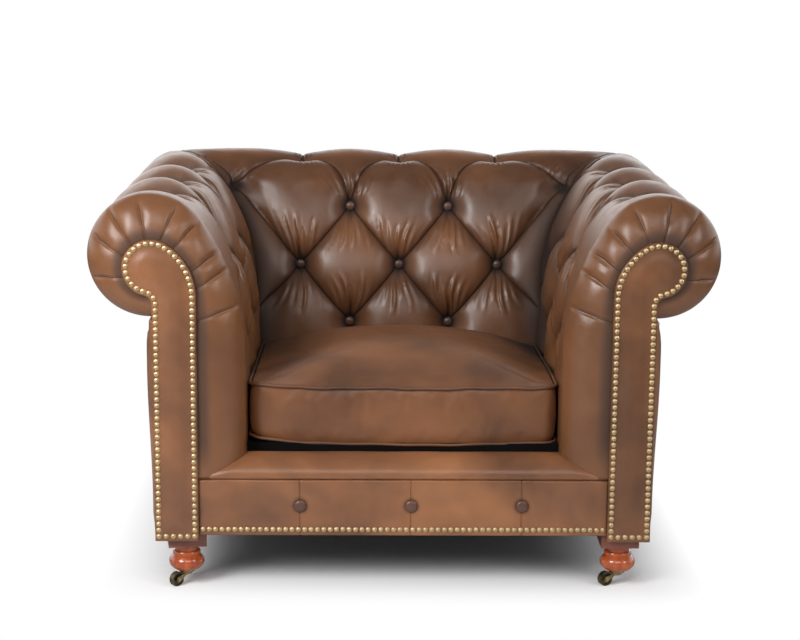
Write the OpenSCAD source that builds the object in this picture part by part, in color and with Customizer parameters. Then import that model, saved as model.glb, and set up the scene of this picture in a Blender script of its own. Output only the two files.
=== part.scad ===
// Rolled-arm, deep-buttoned leather club chair on castored feet.
// Millimetres, +Z up, front towards -Y. The origin lies on the floor under the middle of the chair.
// Left and right are those of somebody who faces the chair: left is -X.

/* [Overall] */
// Width over the two rolled arms
overall_w = 1120; // [1080:5:1200]
// Depth from the nail heads to the back of the rolled back
overall_d = 912; // [880:4:980]
// Height of the top of the rolls above the floor
overall_h = 712; // [700:2:740]
// Height of the underside of the seat rails above the floor
rail_z = 105; // [100:1:110]

/* [Arms and back] */
// Radius of the roll along the arms and the back
roll_r = 110; // [104:1:116]
// How far the roll stands out past the outside panel
roll_overhang = 118; // [114:1:124]
// Thickness of an arm at the seat, from outside panel to inside leather
arm_t = 159; // [150:1:168]
// Drop from the roll's centre to where the inside of the arm turns straight
arm_bend_drop = 172; // [160:1:190]
// Thickness of the back at the seat, from outside panel to inside leather
back_t = 195; // [185:1:210]
// Lean of the inside of the back, in degrees from upright
back_lean = 19; // [16:0.5:21]
// Depth of the rounded front edge of the arms and the seat border
front_round = 56; // [50:1:60]

/* [Facings] */
// Width of the front facing of an arm
facing_w = 77.5; // [72:0.5:84]
// Thickness of a facing, board and leather
facing_t = 8; // [6:0.5:10]
// Radius of the scroll at the top of a facing
scroll_r = 50; // [46:1:54]
// Drop from the roll's centre to the scroll's centre
scroll_drop = 15; // [10:1:20]
// Drop from the scroll's centre to where the inner edge of a facing turns straight
facing_bend_drop = 51; // [45:1:60]
// Radius of the hollow where the scroll meets the outer edge
neck_r = 14; // [10:1:18]
// How far a facing hangs below the seat rails
facing_hang = 12; // [8:1:16]

/* [Nails] */
// Diameter of a nail head
nail_d = 9.6; // [8.5:0.1:10.5]
// Height of a nail head
nail_h = 2.5; // [2:0.1:3.2]
// Spacing of the nails
nail_pitch = 11.4; // [11:0.1:13]
// Distance from the edge of the leather to the line of nails
nail_inset = 7; // [6:0.5:9]
// Length of a nail's shank
nail_shank = 13; // [11:1:16]
// Diameter of a nail's shank
nail_shank_d = 1.6; // [1.2:0.1:2]

/* [Buttoning] */
// Spacing of the buttons along a row
tuft_pitch = 205; // [198:1:212]
// Height between two rows of buttons
row_pitch = 116; // [108:1:120]
// Depth of the first button column of an arm behind the facing
first_tuft = 175; // [165:1:185]
// Depth of the buttons below the surface of the padding
tuft_depth = 34; // [28:1:38]
// Diameter of a leather-covered button on the back and arms
button_d = 19; // [16:0.5:22]
// Thickness of a leather-covered button
button_t = 8; // [6:0.5:10]
// Diameter of a button on the front rail
rail_button_d = 22; // [18:0.5:26]
// Thickness of a button on the front rail
rail_button_t = 5; // [4:0.5:7]
// Spacing of the buttons on the front rail
rail_button_pitch = 198; // [190:1:206]
// Offset of the rail buttons from the middle of the chair
rail_button_offset = 14; // [0:1:20]

/* [Seat] */
// Height of the seat rails
rail_h = 100; // [92:1:106]
// Rise of the padded border above the seat rails
border_h = 57; // [50:1:60]
// Fall of the padded border from its crest to the cushion
border_fall = 6; // [4:1:10]
// Space over the seat rails for the springs
spring_space = 8; // [7:0.5:10]
// Thickness of the padded seat deck
deck_t = 39; // [34:1:42]
// Height of the side band of the seat cushion
cushion_h = 104; // [95:1:112]
// Rise of the crown of the seat cushion above its side band
cushion_crown = 48; // [35:1:55]
// Distance from the facings' front to the front of the seat cushion
cushion_setback = 95; // [90:1:105]
// Space between the seat cushion and the arms and back
cushion_gap = 1; // [0.5:0.1:2]
// Thickness of the cushion's leather
leather_t = 2; // [1.5:0.1:2.5]
// Diameter of the cushion's piping
piping_d = 6; // [4:0.5:7]

/* [Frame] */
// Side of a square corner post
post_w = 60; // [56:1:64]
// Thickness of the seat rails
rail_t = 32; // [26:1:36]
// Distance from the outside panels to the inner face of the side and back rails
rail_inset = 52; // [48:1:56]
// Thickness of the scroll boards
board_t = 18; // [16:1:20]
// Thickness of the outside panels, board and leather
panel_t = 6; // [4:0.5:7]
// Width of the top rails inside the rolls
top_rail_w = 90; // [80:1:96]
// Thickness of the top rails inside the rolls
top_rail_t = 25; // [20:1:30]
// Thickness of the stuffing rails
stuffing_t = 25; // [20:1:30]
// Height of the stuffing rails
stuffing_h = 40; // [34:1:50]
// Height of the underside of the stuffing rails above the seat rails
stuffing_rise = 57; // [52:1:66]
// Length of a corner block along the front or back rail
block_l = 70; // [60:1:80]
// Number of the seat springs
spring_count = 5; // [3:1:6]
// Spacing of the seat springs
spring_pitch = 110; // [95:1:115]
// Diameter of the spring wire
wire_d = 3.6; // [3:0.1:4]
// Distance from one cross run of a spring to the next
spring_step = 32; // [30:1:36]
// Half of the length of a straight run of a spring
run_half = 20; // [16:1:24]
// Width of the webbing
webbing_w = 50; // [40:1:60]
// Thickness of the webbing
webbing_t = 2; // [1.5:0.1:2.5]

/* [Feet and castors] */
// Side of the square block over a foot
plinth_w = 68; // [66:1:74]
// Height of the square block over a foot
plinth_h = 26.5; // [24:0.5:30]
// Distance from the outside panels to the centre of a foot
foot_inset = 51; // [48:1:54]
// Radius of the bun of a foot
bun_r = 32; // [29:0.5:34]
// Radius of the flat bottom of a foot
foot_base_r = 14; // [13:0.5:15]
// Radius of the neck of a foot
neck_foot_r = 21; // [18:0.5:22]
// Radius of the bead round the neck of a foot
bead_r = 25; // [24:0.5:26]
// Diameter of the bolt that holds a foot
bolt_d = 8; // [6:0.5:10]
// Length of the bolt that holds a foot
bolt_l = 110; // [95:1:120]
// Radius of a castor wheel
wheel_r = 13; // [12:0.25:13.5]
// Width of a castor wheel
wheel_w = 10; // [8:0.5:12]
// Distance from a castor's swivel axis to its wheel's axle
trail = 25; // [25:0.5:30]
// Diameter of a castor's axle
axle_d = 4; // [3:0.1:5]
// Diameter of the pin that a castor swivels on
swivel_d = 6; // [5:0.1:7]
// Thickness of the cheeks of a castor's horn
cheek_t = 2.2; // [1.8:0.1:3]
// Thickness of a castor's plate
castor_plate_t = 2.5; // [2:0.1:2.8]
// Thickness of the eye of a castor's horn
eye_t = 4.2; // [3.6:0.1:4.4]

/* [Hidden] */

$fn = 48;
seam = 0.3;            // space left between two soft pieces that meet
past = 1;              // how far a cutting tool runs past what it cuts
panel_gap = 1;         // between an outside panel and the posts behind it
running = 0.05;        // radial clearance of a turning fit
bolt_clearance = 0.1;  // radial clearance round a foot's bolt

// Outside planes. side_x is the outer face of an arm below its roll, back_y that of the back.
side_x = overall_w / 2 - roll_overhang;
back_y = overall_d / 2 - roll_overhang;
front_y = nail_h - overall_d / 2;
roll_z = overall_h - roll_r;
roll_out = roll_overhang - roll_r;
inner_x = side_x - arm_t;
facing_x = side_x - facing_w;
scroll_z = roll_z - scroll_drop;
scroll_out = 1;        // how far the scroll's centre lies outside the panel plane

// Heights
rail_top = rail_z + rail_h;
pad_z = rail_top + spring_space;
deck_top = pad_z + deck_t;
border_top = rail_top + border_h;
facing_z = rail_z - facing_hang;
panel_z = facing_z + 4;
panel_top = roll_z - roll_r;
cushion_z = deck_top + seam;
stuffing_z = rail_top + stuffing_rise;
top_rail_z = roll_z - 2 - top_rail_t;

// Depths
board_y = front_y + facing_t;
post_y = board_y + board_t;
back_post_y = back_y - panel_t - panel_gap - post_w;
post_x = side_x - panel_t - panel_gap - post_w;
rail_x = side_x - rail_inset;
rail_y = back_y - rail_inset;
cushion_front = front_y + cushion_setback;
border_back = cushion_front - piping_d - seam;
cushion_back = back_y - back_t - cushion_gap;
cushion_half = inner_x - cushion_gap;

// Feet and castors, in the order front left, front right, back left, back right
foot_x = side_x - foot_inset;
foot_front_y = front_y + foot_inset;
foot_back_y = back_y - foot_inset;
FEET = [[-foot_x, foot_front_y], [foot_x, foot_front_y], [-foot_x, foot_back_y], [foot_x, foot_back_y]];
HEADINGS = [227, 205, 80, 100];
TURNS = [9, 0, 0, 0];  // how far each foot is screwed round from square
cover_t = 1.5;         // thickness of the dust cover
plinth_z = rail_z - cover_t - plinth_h;
bun_z = 43;            // height of the widest part of a foot
bun_b = 20;            // half of the bun's height, as a whole ellipse
foot_z = bun_z - bun_b * sqrt(1 - pow(foot_base_r / bun_r, 2));
plate_z = foot_z - castor_plate_t;
eye_z = plate_z - seam - eye_t;
rivet_t = 1.5;         // thickness of a rivet's head
bolt_hold = 60;         // how far a foot's bolt reaches up into its post
bolt_z = rail_z + bolt_hold - bolt_l;

// ---------- outlines ----------

function arc(cx, cy, r, a0, a1, n) =
  [for (i = [0 : n]) let (a = a0 + (a1 - a0) * i / n) [cx + r * cos(a), cy + r * sin(a)]];

// Radius of an arc that is upright at its foot, dx inwards and drop below the centre of a
// circle of radius r, and runs into that circle.
function run_in_r(dx, drop, r) = (dx * dx + drop * drop - r * r) / (2 * (dx - r));

// A crook: round a circle from angle a0, then down a long arc to where it stands upright.
function crook(cu, cz, r, foot_u, drop, a0, n1, n2) =
  let (long_r = run_in_r(cu - foot_u, drop, r),
       meet = atan2(drop, cu - foot_u - long_r))
  concat(arc(cu, cz, r, a0, meet, n1),
         [for (i = [1 : n2]) let (a = meet + (180 - meet) * i / n2)
           [foot_u + long_r + long_r * cos(a), cz - drop + long_r * sin(a)]]);

scroll_u = side_x + scroll_out;
neck_u = side_x + neck_r;
neck_fall = sqrt(pow(scroll_r + neck_r, 2) - pow(neck_u - scroll_u, 2));
neck_angle = atan2(-neck_fall, neck_u - scroll_u);

// The scroll and inner edge of a facing, shrunk by g.
function facing_crook(g) =
  crook(scroll_u, scroll_z, scroll_r - g, facing_x + g, facing_bend_drop, neck_angle, 18, 8);

// The whole facing without its bottom edge, from its outer bottom corner round to its inner one.
function facing_edge(g, low) = concat(
  [[side_x - g, low]],
  arc(neck_u, scroll_z - neck_fall, neck_r + g, 180, 180 + neck_angle, 5),
  facing_crook(g),
  [[facing_x + g, low]]);

// Arms and back have the same outer half, a roll over an upright panel. Depths are measured
// outwards from the panel plane, so an inner face has a negative depth.
roll_start = -90 - asin(roll_out / roll_r);
bend_z = roll_z - arm_bend_drop;
arm_long_r = run_in_r(roll_out + arm_t, arm_bend_drop, roll_r);
arm_meet = atan2(arm_bend_drop, roll_out + arm_t - arm_long_r);
meet_z = roll_z + roll_r * sin(arm_meet);
lean_depth = roll_out - roll_r * cos(back_lean);
lean_z = roll_z + roll_r * sin(back_lean);
back_foot_z = lean_z - (lean_depth + back_t) / tan(back_lean);

// Depth of an arm's inner face, and of the back's, at height z.
function arm_depth(z) = let (up = max(0, z - bend_z))
  arm_long_r - arm_t - sqrt(arm_long_r * arm_long_r - up * up);
function back_depth(z) =
  z > lean_z ? roll_out - sqrt(roll_r * roll_r - pow(z - roll_z, 2)) :
  z > back_foot_z ? lean_depth - (lean_z - z) * tan(back_lean) : -back_t;

// Heights at which the two inner faces are drawn, from the roll down to the deck.
face_steps = 9;
face_low = min(bend_z, back_foot_z);
face_z = concat([for (k = [1 : face_steps]) meet_z + (face_low - meet_z) * k / face_steps], [pad_z]);
roll_arc = arc(roll_out, roll_z, roll_r, roll_start, arm_meet, 20);
arm_section = concat(roll_arc, [for (z = face_z) [arm_depth(z), z]], [[0, pad_z]]);
back_section = concat(roll_arc, [for (z = face_z) [back_depth(z), z]], [[0, pad_z]]);
arm_front = concat(
  crook(scroll_out, scroll_z, scroll_r, -facing_w, facing_bend_drop, neck_angle, 20, face_steps),
  [[-facing_w, pad_z], [0, pad_z]]);

function arm_face(z) = side_x + arm_depth(z);
function back_face(z) = back_y + back_depth(z);

// ---------- shared shapes ----------

// A closed solid through rings of points that all have the same count, with an end face at each
// end that fans out from the point given for it.
module loft(rings, start, end) {
  n = len(rings[0]);
  last = len(rings) - 1;
  polyhedron(
    points = concat([for (ring = rings) for (p = ring) p], [start, end]),
    faces = concat(
      [for (i = [0 : n - 1]) [(last + 1) * n, i, (i + 1) % n]],
      [for (i = [0 : n - 1]) [(last + 1) * n + 1, last * n + (i + 1) % n, last * n + i]],
      [for (k = [0 : last - 1]) for (i = [0 : n - 1]) let (a = k * n, j = (i + 1) % n)
        for (face = [[a + i, a + n + i, a + n + j], [a + i, a + n + j, a + j]]) face]));
}

// An outline in x and z pulled from depth y0 to y1.
module pull_y(y0, y1, outline) {
  translate([0, y1, 0]) rotate([90, 0, 0]) linear_extrude(y1 - y0) polygon(outline);
}

// An outline in y and z pulled from x0 to x1.
module pull_x(x0, x1, outline) {
  translate([x0, 0, 0]) rotate([90, 0, 90]) linear_extrude(x1 - x0) polygon(outline);
}

module block(low, high) {
  translate(low) cube(high - low);
}

module both_sides() {
  children();
  mirror([1, 0, 0]) children();
}

// A round button with its base on the plane z = 0.
module button(d, t) {
  rotate_extrude() polygon(concat(
    [[0, 0], [d / 2, 0], [d / 2, t * 0.35]],
    [for (a = [30 : 20 : 70]) [d / 2 * cos(a), t * (0.35 + 0.65 * sin(a))]],
    [[0, t]]));
}

// ---------- wooden frame ----------

module front_rail() {
  color("burlywood") block([-post_x, post_y, rail_z], [post_x, post_y + rail_t, rail_top]);
}

module back_rail() {
  color("burlywood") block([-post_x, rail_y, rail_z], [post_x, rail_y + rail_t, rail_top]);
}

module side_rail() {
  color("burlywood")
    block([rail_x, post_y + post_w, rail_z], [rail_x + rail_t, back_post_y, rail_top]);
}

module bolt_hole(i) {
  translate([FEET[i][0], FEET[i][1], bolt_z])
    cylinder(h = bolt_l + past, r = bolt_d / 2 + bolt_clearance);
}

module front_post() {
  color("burlywood") difference() {
    block([post_x, post_y, rail_z], [post_x + post_w, post_y + post_w, top_rail_z]);
    bolt_hole(1);
  }
}

module back_post() {
  color("burlywood") difference() {
    block([post_x, back_post_y, rail_z], [post_x + post_w, back_post_y + post_w, top_rail_z]);
    bolt_hole(3);
  }
}

// A glued block in each corner of the seat frame.
module corner_blocks() {
  front = post_y + rail_t;
  post_end = post_y + post_w;
  reach = block_l * 1.2;
  color("tan") translate([0, 0, rail_z + 10]) both_sides() {
    linear_extrude(rail_h - 20) polygon([
      [post_x, front], [post_x - block_l, front], [rail_x, post_end + reach - rail_t],
      [rail_x, post_end], [post_x, post_end]]);
    linear_extrude(rail_h - 20) polygon([
      [post_x, rail_y], [post_x - block_l, rail_y], [rail_x, back_post_y - reach + rail_t],
      [rail_x, back_post_y], [post_x, back_post_y]]);
  }
}

// The shaped boards that carry the front of the arms and take the facing nails.
module scroll_boards() {
  color("tan") both_sides() pull_y(board_y, post_y, facing_edge(0.5, rail_z));
}

module arm_top_rails() {
  color("burlywood") both_sides() block(
    [rail_x, post_y, top_rail_z],
    [rail_x + top_rail_w, rail_y + top_rail_w, top_rail_z + top_rail_t]);
}

module back_top_rail() {
  color("burlywood") block(
    [-rail_x, rail_y, top_rail_z],
    [rail_x, rail_y + top_rail_w, top_rail_z + top_rail_t]);
}

module arm_stuffing_rails() {
  color("burlywood") both_sides() block(
    [rail_x, post_y + post_w, stuffing_z],
    [rail_x + stuffing_t, back_post_y, stuffing_z + stuffing_h]);
}

module back_stuffing_rail() {
  color("burlywood") block(
    [-post_x, rail_y, stuffing_z],
    [post_x, rail_y + stuffing_t, stuffing_z + stuffing_h]);
}

// ---------- springs, webbing and cloths ----------

spring_start = post_y + rail_t / 2;
spring_runs = floor((rail_y + rail_t / 2 - spring_start) / spring_step);
spring_end = spring_start + spring_runs * spring_step;
spring_r = wire_d / 2;
wire_lie = spring_r * sin(45);

// The line of a spring: straight cross runs joined by half circles at alternate sides.
function spring_line() = concat([[-run_half, 0]], [
  for (i = [0 : spring_runs]) each [
    [(i % 2 == 0 ? 1 : -1) * run_half, i * spring_step],
    if (i < spring_runs) each [for (a = [-35 : 70 : 35])
      [(i % 2 == 0 ? 1 : -1) * (run_half + spring_step / 2 * cos(a)),
       (i + 0.5) * spring_step + spring_step / 2 * sin(a)]],
    if (i < spring_runs) [(i % 2 == 0 ? 1 : -1) * run_half, (i + 1) * spring_step]]]);

// A four-sided wire along a line. It lies flat at both ends and arches up to the deck between them.
module zigzag_spring() {
  line = spring_line();
  n = len(line);
  whole = spring_runs * spring_step;
  rise = spring_space - 2 * wire_lie - 0.1;
  rings = [for (i = [0 : n - 1]) let (
      to = line[min(n - 1, i + 1)] - line[max(0, i - 1)],
      side = [to[1], -to[0]] / norm(to),
      lift = rise * sin(180 * line[i][1] / whole))
    [for (a = [45 : 90 : 315])
      [line[i][0] + side[0] * spring_r * cos(a), line[i][1] + side[1] * spring_r * cos(a),
       lift + spring_r * sin(a)]]];
  loft(rings, [line[0][0], line[0][1], 0], [line[n - 1][0], line[n - 1][1], 0]);
}

function spring_x(i) = (i - (spring_count - 1) / 2) * spring_pitch;

module seat_springs() {
  color("dimgray") for (i = [0 : spring_count - 1])
    translate([spring_x(i), spring_start, rail_top + wire_lie]) zigzag_spring();
}

// A bent metal clip over each end of each spring.
module spring_clips() {
  clip_w = 16;
  clip_d = 14;
  clip_h = wire_d + 2;
  color("silver") for (i = [0 : spring_count - 1]) for (y = [spring_start, spring_end])
    translate([spring_x(i) - clip_w / 2, y - clip_d / 2, rail_top]) difference() {
      cube([clip_w, clip_d, clip_h]);
      translate([-past, (clip_d - wire_d) / 2 - 0.1, -past]) cube([clip_w + 2 * past, wire_d + 0.2, wire_d + past + 0.1]);
    }
}

module back_webbing() {
  low = stuffing_z;
  high = top_rail_z + top_rail_t;
  color("wheat") for (k = [-1.5 : 1 : 1.5])
    translate([k * 0.4 * post_x - webbing_w / 2, rail_y - webbing_t, low])
      cube([webbing_w, webbing_t, high - low]);
}

module arm_webbing() {
  run = back_post_y - post_y - post_w;
  color("wheat") both_sides() for (k = [0.2, 0.5, 0.8])
    translate([rail_x - webbing_t, post_y + post_w + run * k - webbing_w / 2, stuffing_z])
      cube([webbing_t, webbing_w, top_rail_z + top_rail_t - stuffing_z]);
}

// The padded platform that the loose cushion lies on.
module seat_deck() {
  color("dimgray") block(
    [-inner_x + seam, border_back + seam, pad_z],
    [inner_x - seam, back_y - back_t - seam, deck_top]);
}

module dust_cover() {
  color("black") difference() {
    block([-side_x + panel_t + panel_gap, post_y, rail_z - cover_t],
          [side_x - panel_t - panel_gap, back_y - panel_t - panel_gap, rail_z]);
    for (i = [0 : 3]) bolt_hole(i);
  }
}

// ---------- padding and leather ----------

// Everything of the frame that an arm or the back closes round, with a little room.
module frame_room() {
  far = side_x + past;
  high = top_rail_z + top_rail_t + seam;
  block([rail_x - webbing_t - seam, board_y - past, pad_z - past], [far, back_y + past, high]);
  block([post_x - seam, board_y - past, pad_z - past], [far, post_y + post_w + seam, top_rail_z + seam]);
  block([post_x - seam, back_post_y - seam, pad_z - past], [far, back_y + past, top_rail_z + seam]);
  block([rail_x - past, post_y - seam, top_rail_z - seam],
        [rail_x + top_rail_w + seam, rail_y + top_rail_w + seam, high]);
  block([inner_x, rail_y - seam, top_rail_z - seam], [rail_x, rail_y + top_rail_w + seam, high]);
}

arm_rows = [
  for (k = [0 : 1]) [first_tuft + (k + 0.5) * tuft_pitch, 0],
  for (k = [0 : 2]) [first_tuft + k * tuft_pitch, 1],
  for (k = [0 : 1]) [first_tuft + (k + 0.5) * tuft_pitch, 2]];
back_rows = [[-0.5, 0], [0.5, 0], [-1, 1], [0, 1], [1, 1], [-0.5, 2], [0.5, 2]];
function row_z(row) = roll_z - row * row_pitch;
pocket_d = button_d + 5;

// Puts children at the bottom of each button pocket of the right arm, with +Z out of the pocket.
module at_arm_buttons() {
  for (b = arm_rows)
    translate([arm_face(row_z(b[1])) + tuft_depth, front_y + b[0], row_z(b[1])])
      rotate([0, -90, 0]) children();
}

module at_back_buttons() {
  for (b = back_rows)
    translate([b[0] * tuft_pitch, back_face(row_z(b[1])) + tuft_depth, row_z(b[1])])
      rotate([90, 0, 0]) children();
}

// The inside and roll of the right arm: rounded at the front, mitred at the back corner.
module arm_pad() {
  steps = 6;
  heart = -12;
  rings = concat(
    [for (k = [0 : steps]) let (a = 90 * k / steps) [for (i = [0 : len(arm_section) - 1])
      let (p = arm_front[i] + (arm_section[i] - arm_front[i]) * sin(a))
      [side_x + p[0], board_y + front_round * (1 - cos(a)), p[1]]]],
    [[for (i = [0 : len(arm_section) - 1])
      [side_x + arm_section[i][0], back_y + back_section[i][0] - seam, arm_section[i][1]]]]);
  color("saddlebrown") difference() {
    loft(rings, [side_x + heart, board_y, scroll_z], [side_x + heart, back_y + heart - seam, roll_z]);
    pull_y(board_y - past, post_y + seam, facing_edge(-0.3, pad_z - past));
    frame_room();
    pull_y(front_y - past, border_back + seam, [
      [inner_x - past, pad_z - past], [inner_x - past, border_top + seam],
      [inner_x, border_top + seam], [facing_x, rail_top + seam], [facing_x, pad_z - past]]);
    at_arm_buttons() cylinder(h = arm_t, d = pocket_d);
  }
}

// The inside and roll of the back, mitred at both corners.
module back_pad() {
  heart = -12;
  n = len(back_section);
  right = [for (i = [0 : n - 1])
    [side_x + arm_section[i][0] - seam, back_y + back_section[i][0], back_section[i][1]]];
  left = [for (p = right) [-p[0], p[1], p[2]]];
  color("saddlebrown") difference() {
    loft([left, right], [seam - side_x - heart, back_y + heart, roll_z],
      [side_x + heart - seam, back_y + heart, roll_z]);
    block([-side_x - past, rail_y - webbing_t - seam, pad_z - past],
          [side_x + past, back_y + past, top_rail_z + top_rail_t + seam]);
    both_sides() block([post_x - seam, back_post_y - seam, pad_z - past], [side_x + past, back_y + past, top_rail_z + seam]);
    block([-rail_x - top_rail_w - seam, rail_y - past, top_rail_z - seam],
          [rail_x + top_rail_w + seam, rail_y + top_rail_w + seam, top_rail_z + top_rail_t + seam]);
    at_back_buttons() cylinder(h = back_t, d = pocket_d);
  }
}

module arm_buttons() {
  color("#3b2418") at_arm_buttons() button(button_d, button_t);
}

module back_buttons() {
  color("#3b2418") at_back_buttons() button(button_d, button_t);
}

module outside_arm() {
  color("saddlebrown")
    block([side_x - panel_t, post_y, panel_z], [side_x, back_y - panel_t, panel_top]);
}

module outside_back() {
  color("saddlebrown") block([-side_x, back_y - panel_t, panel_z], [side_x, back_y, panel_top]);
}

// The padded lip in front of the cushion, mitred into the arms.
module seat_border() {
  slope = (facing_x - inner_x) / border_h;
  section = concat(
    [[border_back, pad_z], [post_y, pad_z], [post_y, rail_top + seam], [board_y, rail_top + seam]],
    [for (a = [0 : 15 : 90])
      [board_y + front_round * (1 - cos(a)), rail_top + seam + (border_h - seam) * sin(a)]],
    [[border_back, border_top - border_fall]]);
  color("saddlebrown") difference() {
    pull_x(-facing_x, facing_x, section);
    both_sides() pull_y(front_y - past, border_back + past, [
      [inner_x - seam - past * slope, border_top + past], [facing_x - seam, rail_top],
      [facing_x + past, rail_top], [facing_x + past, border_top + past]]);
  }
}

module rail_cover() {
  color("saddlebrown") block([-facing_x, board_y, rail_z], [facing_x, post_y, rail_top]);
}

module rail_buttons() {
  color("#4a2c1c") for (k = [-1 : 1])
    translate([rail_button_offset + k * rail_button_pitch, board_y, rail_z + rail_h * 0.52])
      rotate([90, 0, 0]) button(rail_button_d, rail_button_t);
}

module arm_facing() {
  color("sienna") pull_y(front_y, board_y, facing_edge(0, facing_z));
}

// ---------- nails ----------

// Points at equal steps along a line of points, both ends included.
function walked(path) = [for (i = 0, s = 0; i < len(path);
  s = s + (i < len(path) - 1 ? norm(path[i + 1] - path[i]) : 0), i = i + 1) s];
function along(path, marks, s) =
  let (i = min(len(path) - 2, max([for (k = [0 : len(marks) - 1]) if (marks[k] <= s) k])))
  path[i] + (path[i + 1] - path[i]) * (s - marks[i]) / (marks[i + 1] - marks[i]);
function evenly(path, pitch) =
  let (marks = walked(path), whole = marks[len(marks) - 1], n = round(whole / pitch))
  [for (i = [0 : n]) along(path, marks, whole * i / n)];

// A domed nail, head on the plane y = 0 and shank towards +Y.
module nail() {
  r = nail_d / 2;
  rotate([90, 0, 0]) {
    translate([0, 0, -nail_shank]) cylinder(h = nail_shank + nail_h / 2, d = nail_shank_d);
    cylinder(h = nail_h * 0.6, r1 = r, r2 = r * 0.82);
    translate([0, 0, nail_h * 0.6]) cylinder(h = nail_h * 0.4, r1 = r * 0.82, r2 = r * 0.35);
  }
}

module facing_nails() {
  low = facing_z + nail_inset + 3;
  round_line = evenly(facing_edge(nail_inset, low), nail_pitch);
  bottom = evenly([round_line[0], round_line[len(round_line) - 1]], nail_pitch * 1.1);
  color("goldenrod") {
    for (p = round_line) translate([p[0], front_y, p[1]]) nail();
    for (i = [1 : len(bottom) - 2]) translate([bottom[i][0], front_y, bottom[i][1]]) nail();
  }
}

module rail_nails() {
  reach = facing_x - nail_d / 2 - 2;
  color("goldenrod") for (p = evenly([[-reach, rail_z + nail_inset + 2], [reach, rail_z + nail_inset + 2]], nail_pitch))
    translate([p[0], board_y, p[1]]) nail();
}

// ---------- seat cushion ----------

// A box with a crowned top. Its sides stand in by g from the cushion's own.
module crowned_box(g) {
  n = 12;
  x = cushion_half - g;
  y0 = cushion_front + g;
  y1 = cushion_back - g;
  low = cushion_z + g;
  edge = cushion_z + cushion_h - g;
  rise = function (i, k) cushion_crown * pow(max(0, sin(180 * i / n) * sin(180 * k / n)), 0.6);
  top = [for (k = [0 : n]) for (i = [0 : n]) [x * (2 * i / n - 1), y0 + (y1 - y0) * k / n, edge + rise(i, k)]];
  foot = len(top);
  feet = [[-x, y0, low], [x, y0, low], [x, y1, low], [-x, y1, low]];
  at = function (i, k) k * (n + 1) + i;
  polyhedron(
    points = concat(top, feet),
    faces = concat(
      [for (k = [0 : n - 1]) for (i = [0 : n - 1]) for (face = [
        [at(i, k), at(i, k + 1), at(i + 1, k + 1)], [at(i, k), at(i + 1, k + 1), at(i + 1, k)]]) face],
      [concat([foot], [for (i = [0 : n]) at(i, 0)], [foot + 1]),
       concat([foot + 1], [for (k = [0 : n]) at(n, k)], [foot + 2]),
       concat([foot + 2], [for (i = [0 : n]) at(n - i, n)], [foot + 3]),
       concat([foot + 3], [for (k = [0 : n]) at(0, n - k)], [foot]),
       [foot, foot + 1, foot + 2, foot + 3]]));
}

module cushion_cover() {
  color("saddlebrown") difference() {
    crowned_box(0);
    crowned_box(leather_t);
  }
}

module cushion_core() {
  color("ivory") crowned_box(leather_t + seam);
}

// The corded seams along the front of the cushion, above and below its band.
module cushion_piping() {
  r = piping_d / 2;
  color("#5a3420") for (z = [cushion_z + r, cushion_z + cushion_h - r])
    translate([-cushion_half + r, cushion_front - r, z])
      rotate([0, 90, 0]) cylinder(h = 2 * (cushion_half - r), r = r - 0.1, $fn = 24);
}

// ---------- feet and castors ----------

module foot_plinths() {
  color("#7a3018") for (i = [0 : 3]) difference() {
    translate([FEET[i][0], FEET[i][1], plinth_z]) rotate(TURNS[i])
      translate([-plinth_w / 2, -plinth_w / 2, 0]) cube([plinth_w, plinth_w, plinth_h]);
    bolt_hole(i);
  }
}

// A turned foot: bun, groove, bead and neck.
module foot(i) {
  span = plinth_z - bun_z;
  low = asin((foot_z - bun_z) / bun_b);
  high = acos((bead_r - 0.6) / bun_r);
  profile = concat(
    [[0, foot_z]],
    [for (k = [0 : 12]) let (a = low + (high - low) * k / 12) [bun_r * cos(a), bun_z + bun_b * sin(a)]],
    [for (a = [-60 : 30 : 60]) [bead_r - 1.5 + 1.5 * cos(a), bun_z + span * 0.5 + 3.6 * sin(a)]],
    [[neck_foot_r, bun_z + span * 0.65], [neck_foot_r, bun_z + span * 0.85], [neck_foot_r + 3, plinth_z],
     [0, plinth_z]]);
  color("#b5501f") difference() {
    translate([FEET[i][0], FEET[i][1], 0]) rotate_extrude() polygon(profile);
    bolt_hole(i);
  }
}

module foot_bolts() {
  color("gray") for (i = [0 : 3]) translate([FEET[i][0], FEET[i][1], bolt_z + past])
    cylinder(h = bolt_l - past, d = bolt_d);
}

// Puts children at a castor, with +X pointing from the swivel axis to the wheel.
module at_castor(i) {
  translate([FEET[i][0], FEET[i][1], 0]) rotate(HEADINGS[i]) children();
}

// The fixed plate under a foot with the pin that its castor swivels on.
module castor_plates() {
  pin_low = eye_z - seam - rivet_t;
  color("darkgoldenrod") for (i = [0 : 3]) at_castor(i) {
    translate([0, 0, plate_z]) cylinder(h = castor_plate_t, r = foot_base_r);
    translate([0, 0, pin_low]) cylinder(h = plate_z - pin_low + past / 2, d = swivel_d);
    translate([0, 0, pin_low]) cylinder(h = rivet_t, r = swivel_d / 2 + 2);
  }
}

cheek_y = wheel_w / 2 + 0.6;
boss_r = axle_d / 2 + 3.5;
eye_r = swivel_d / 2 + 6;

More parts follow.
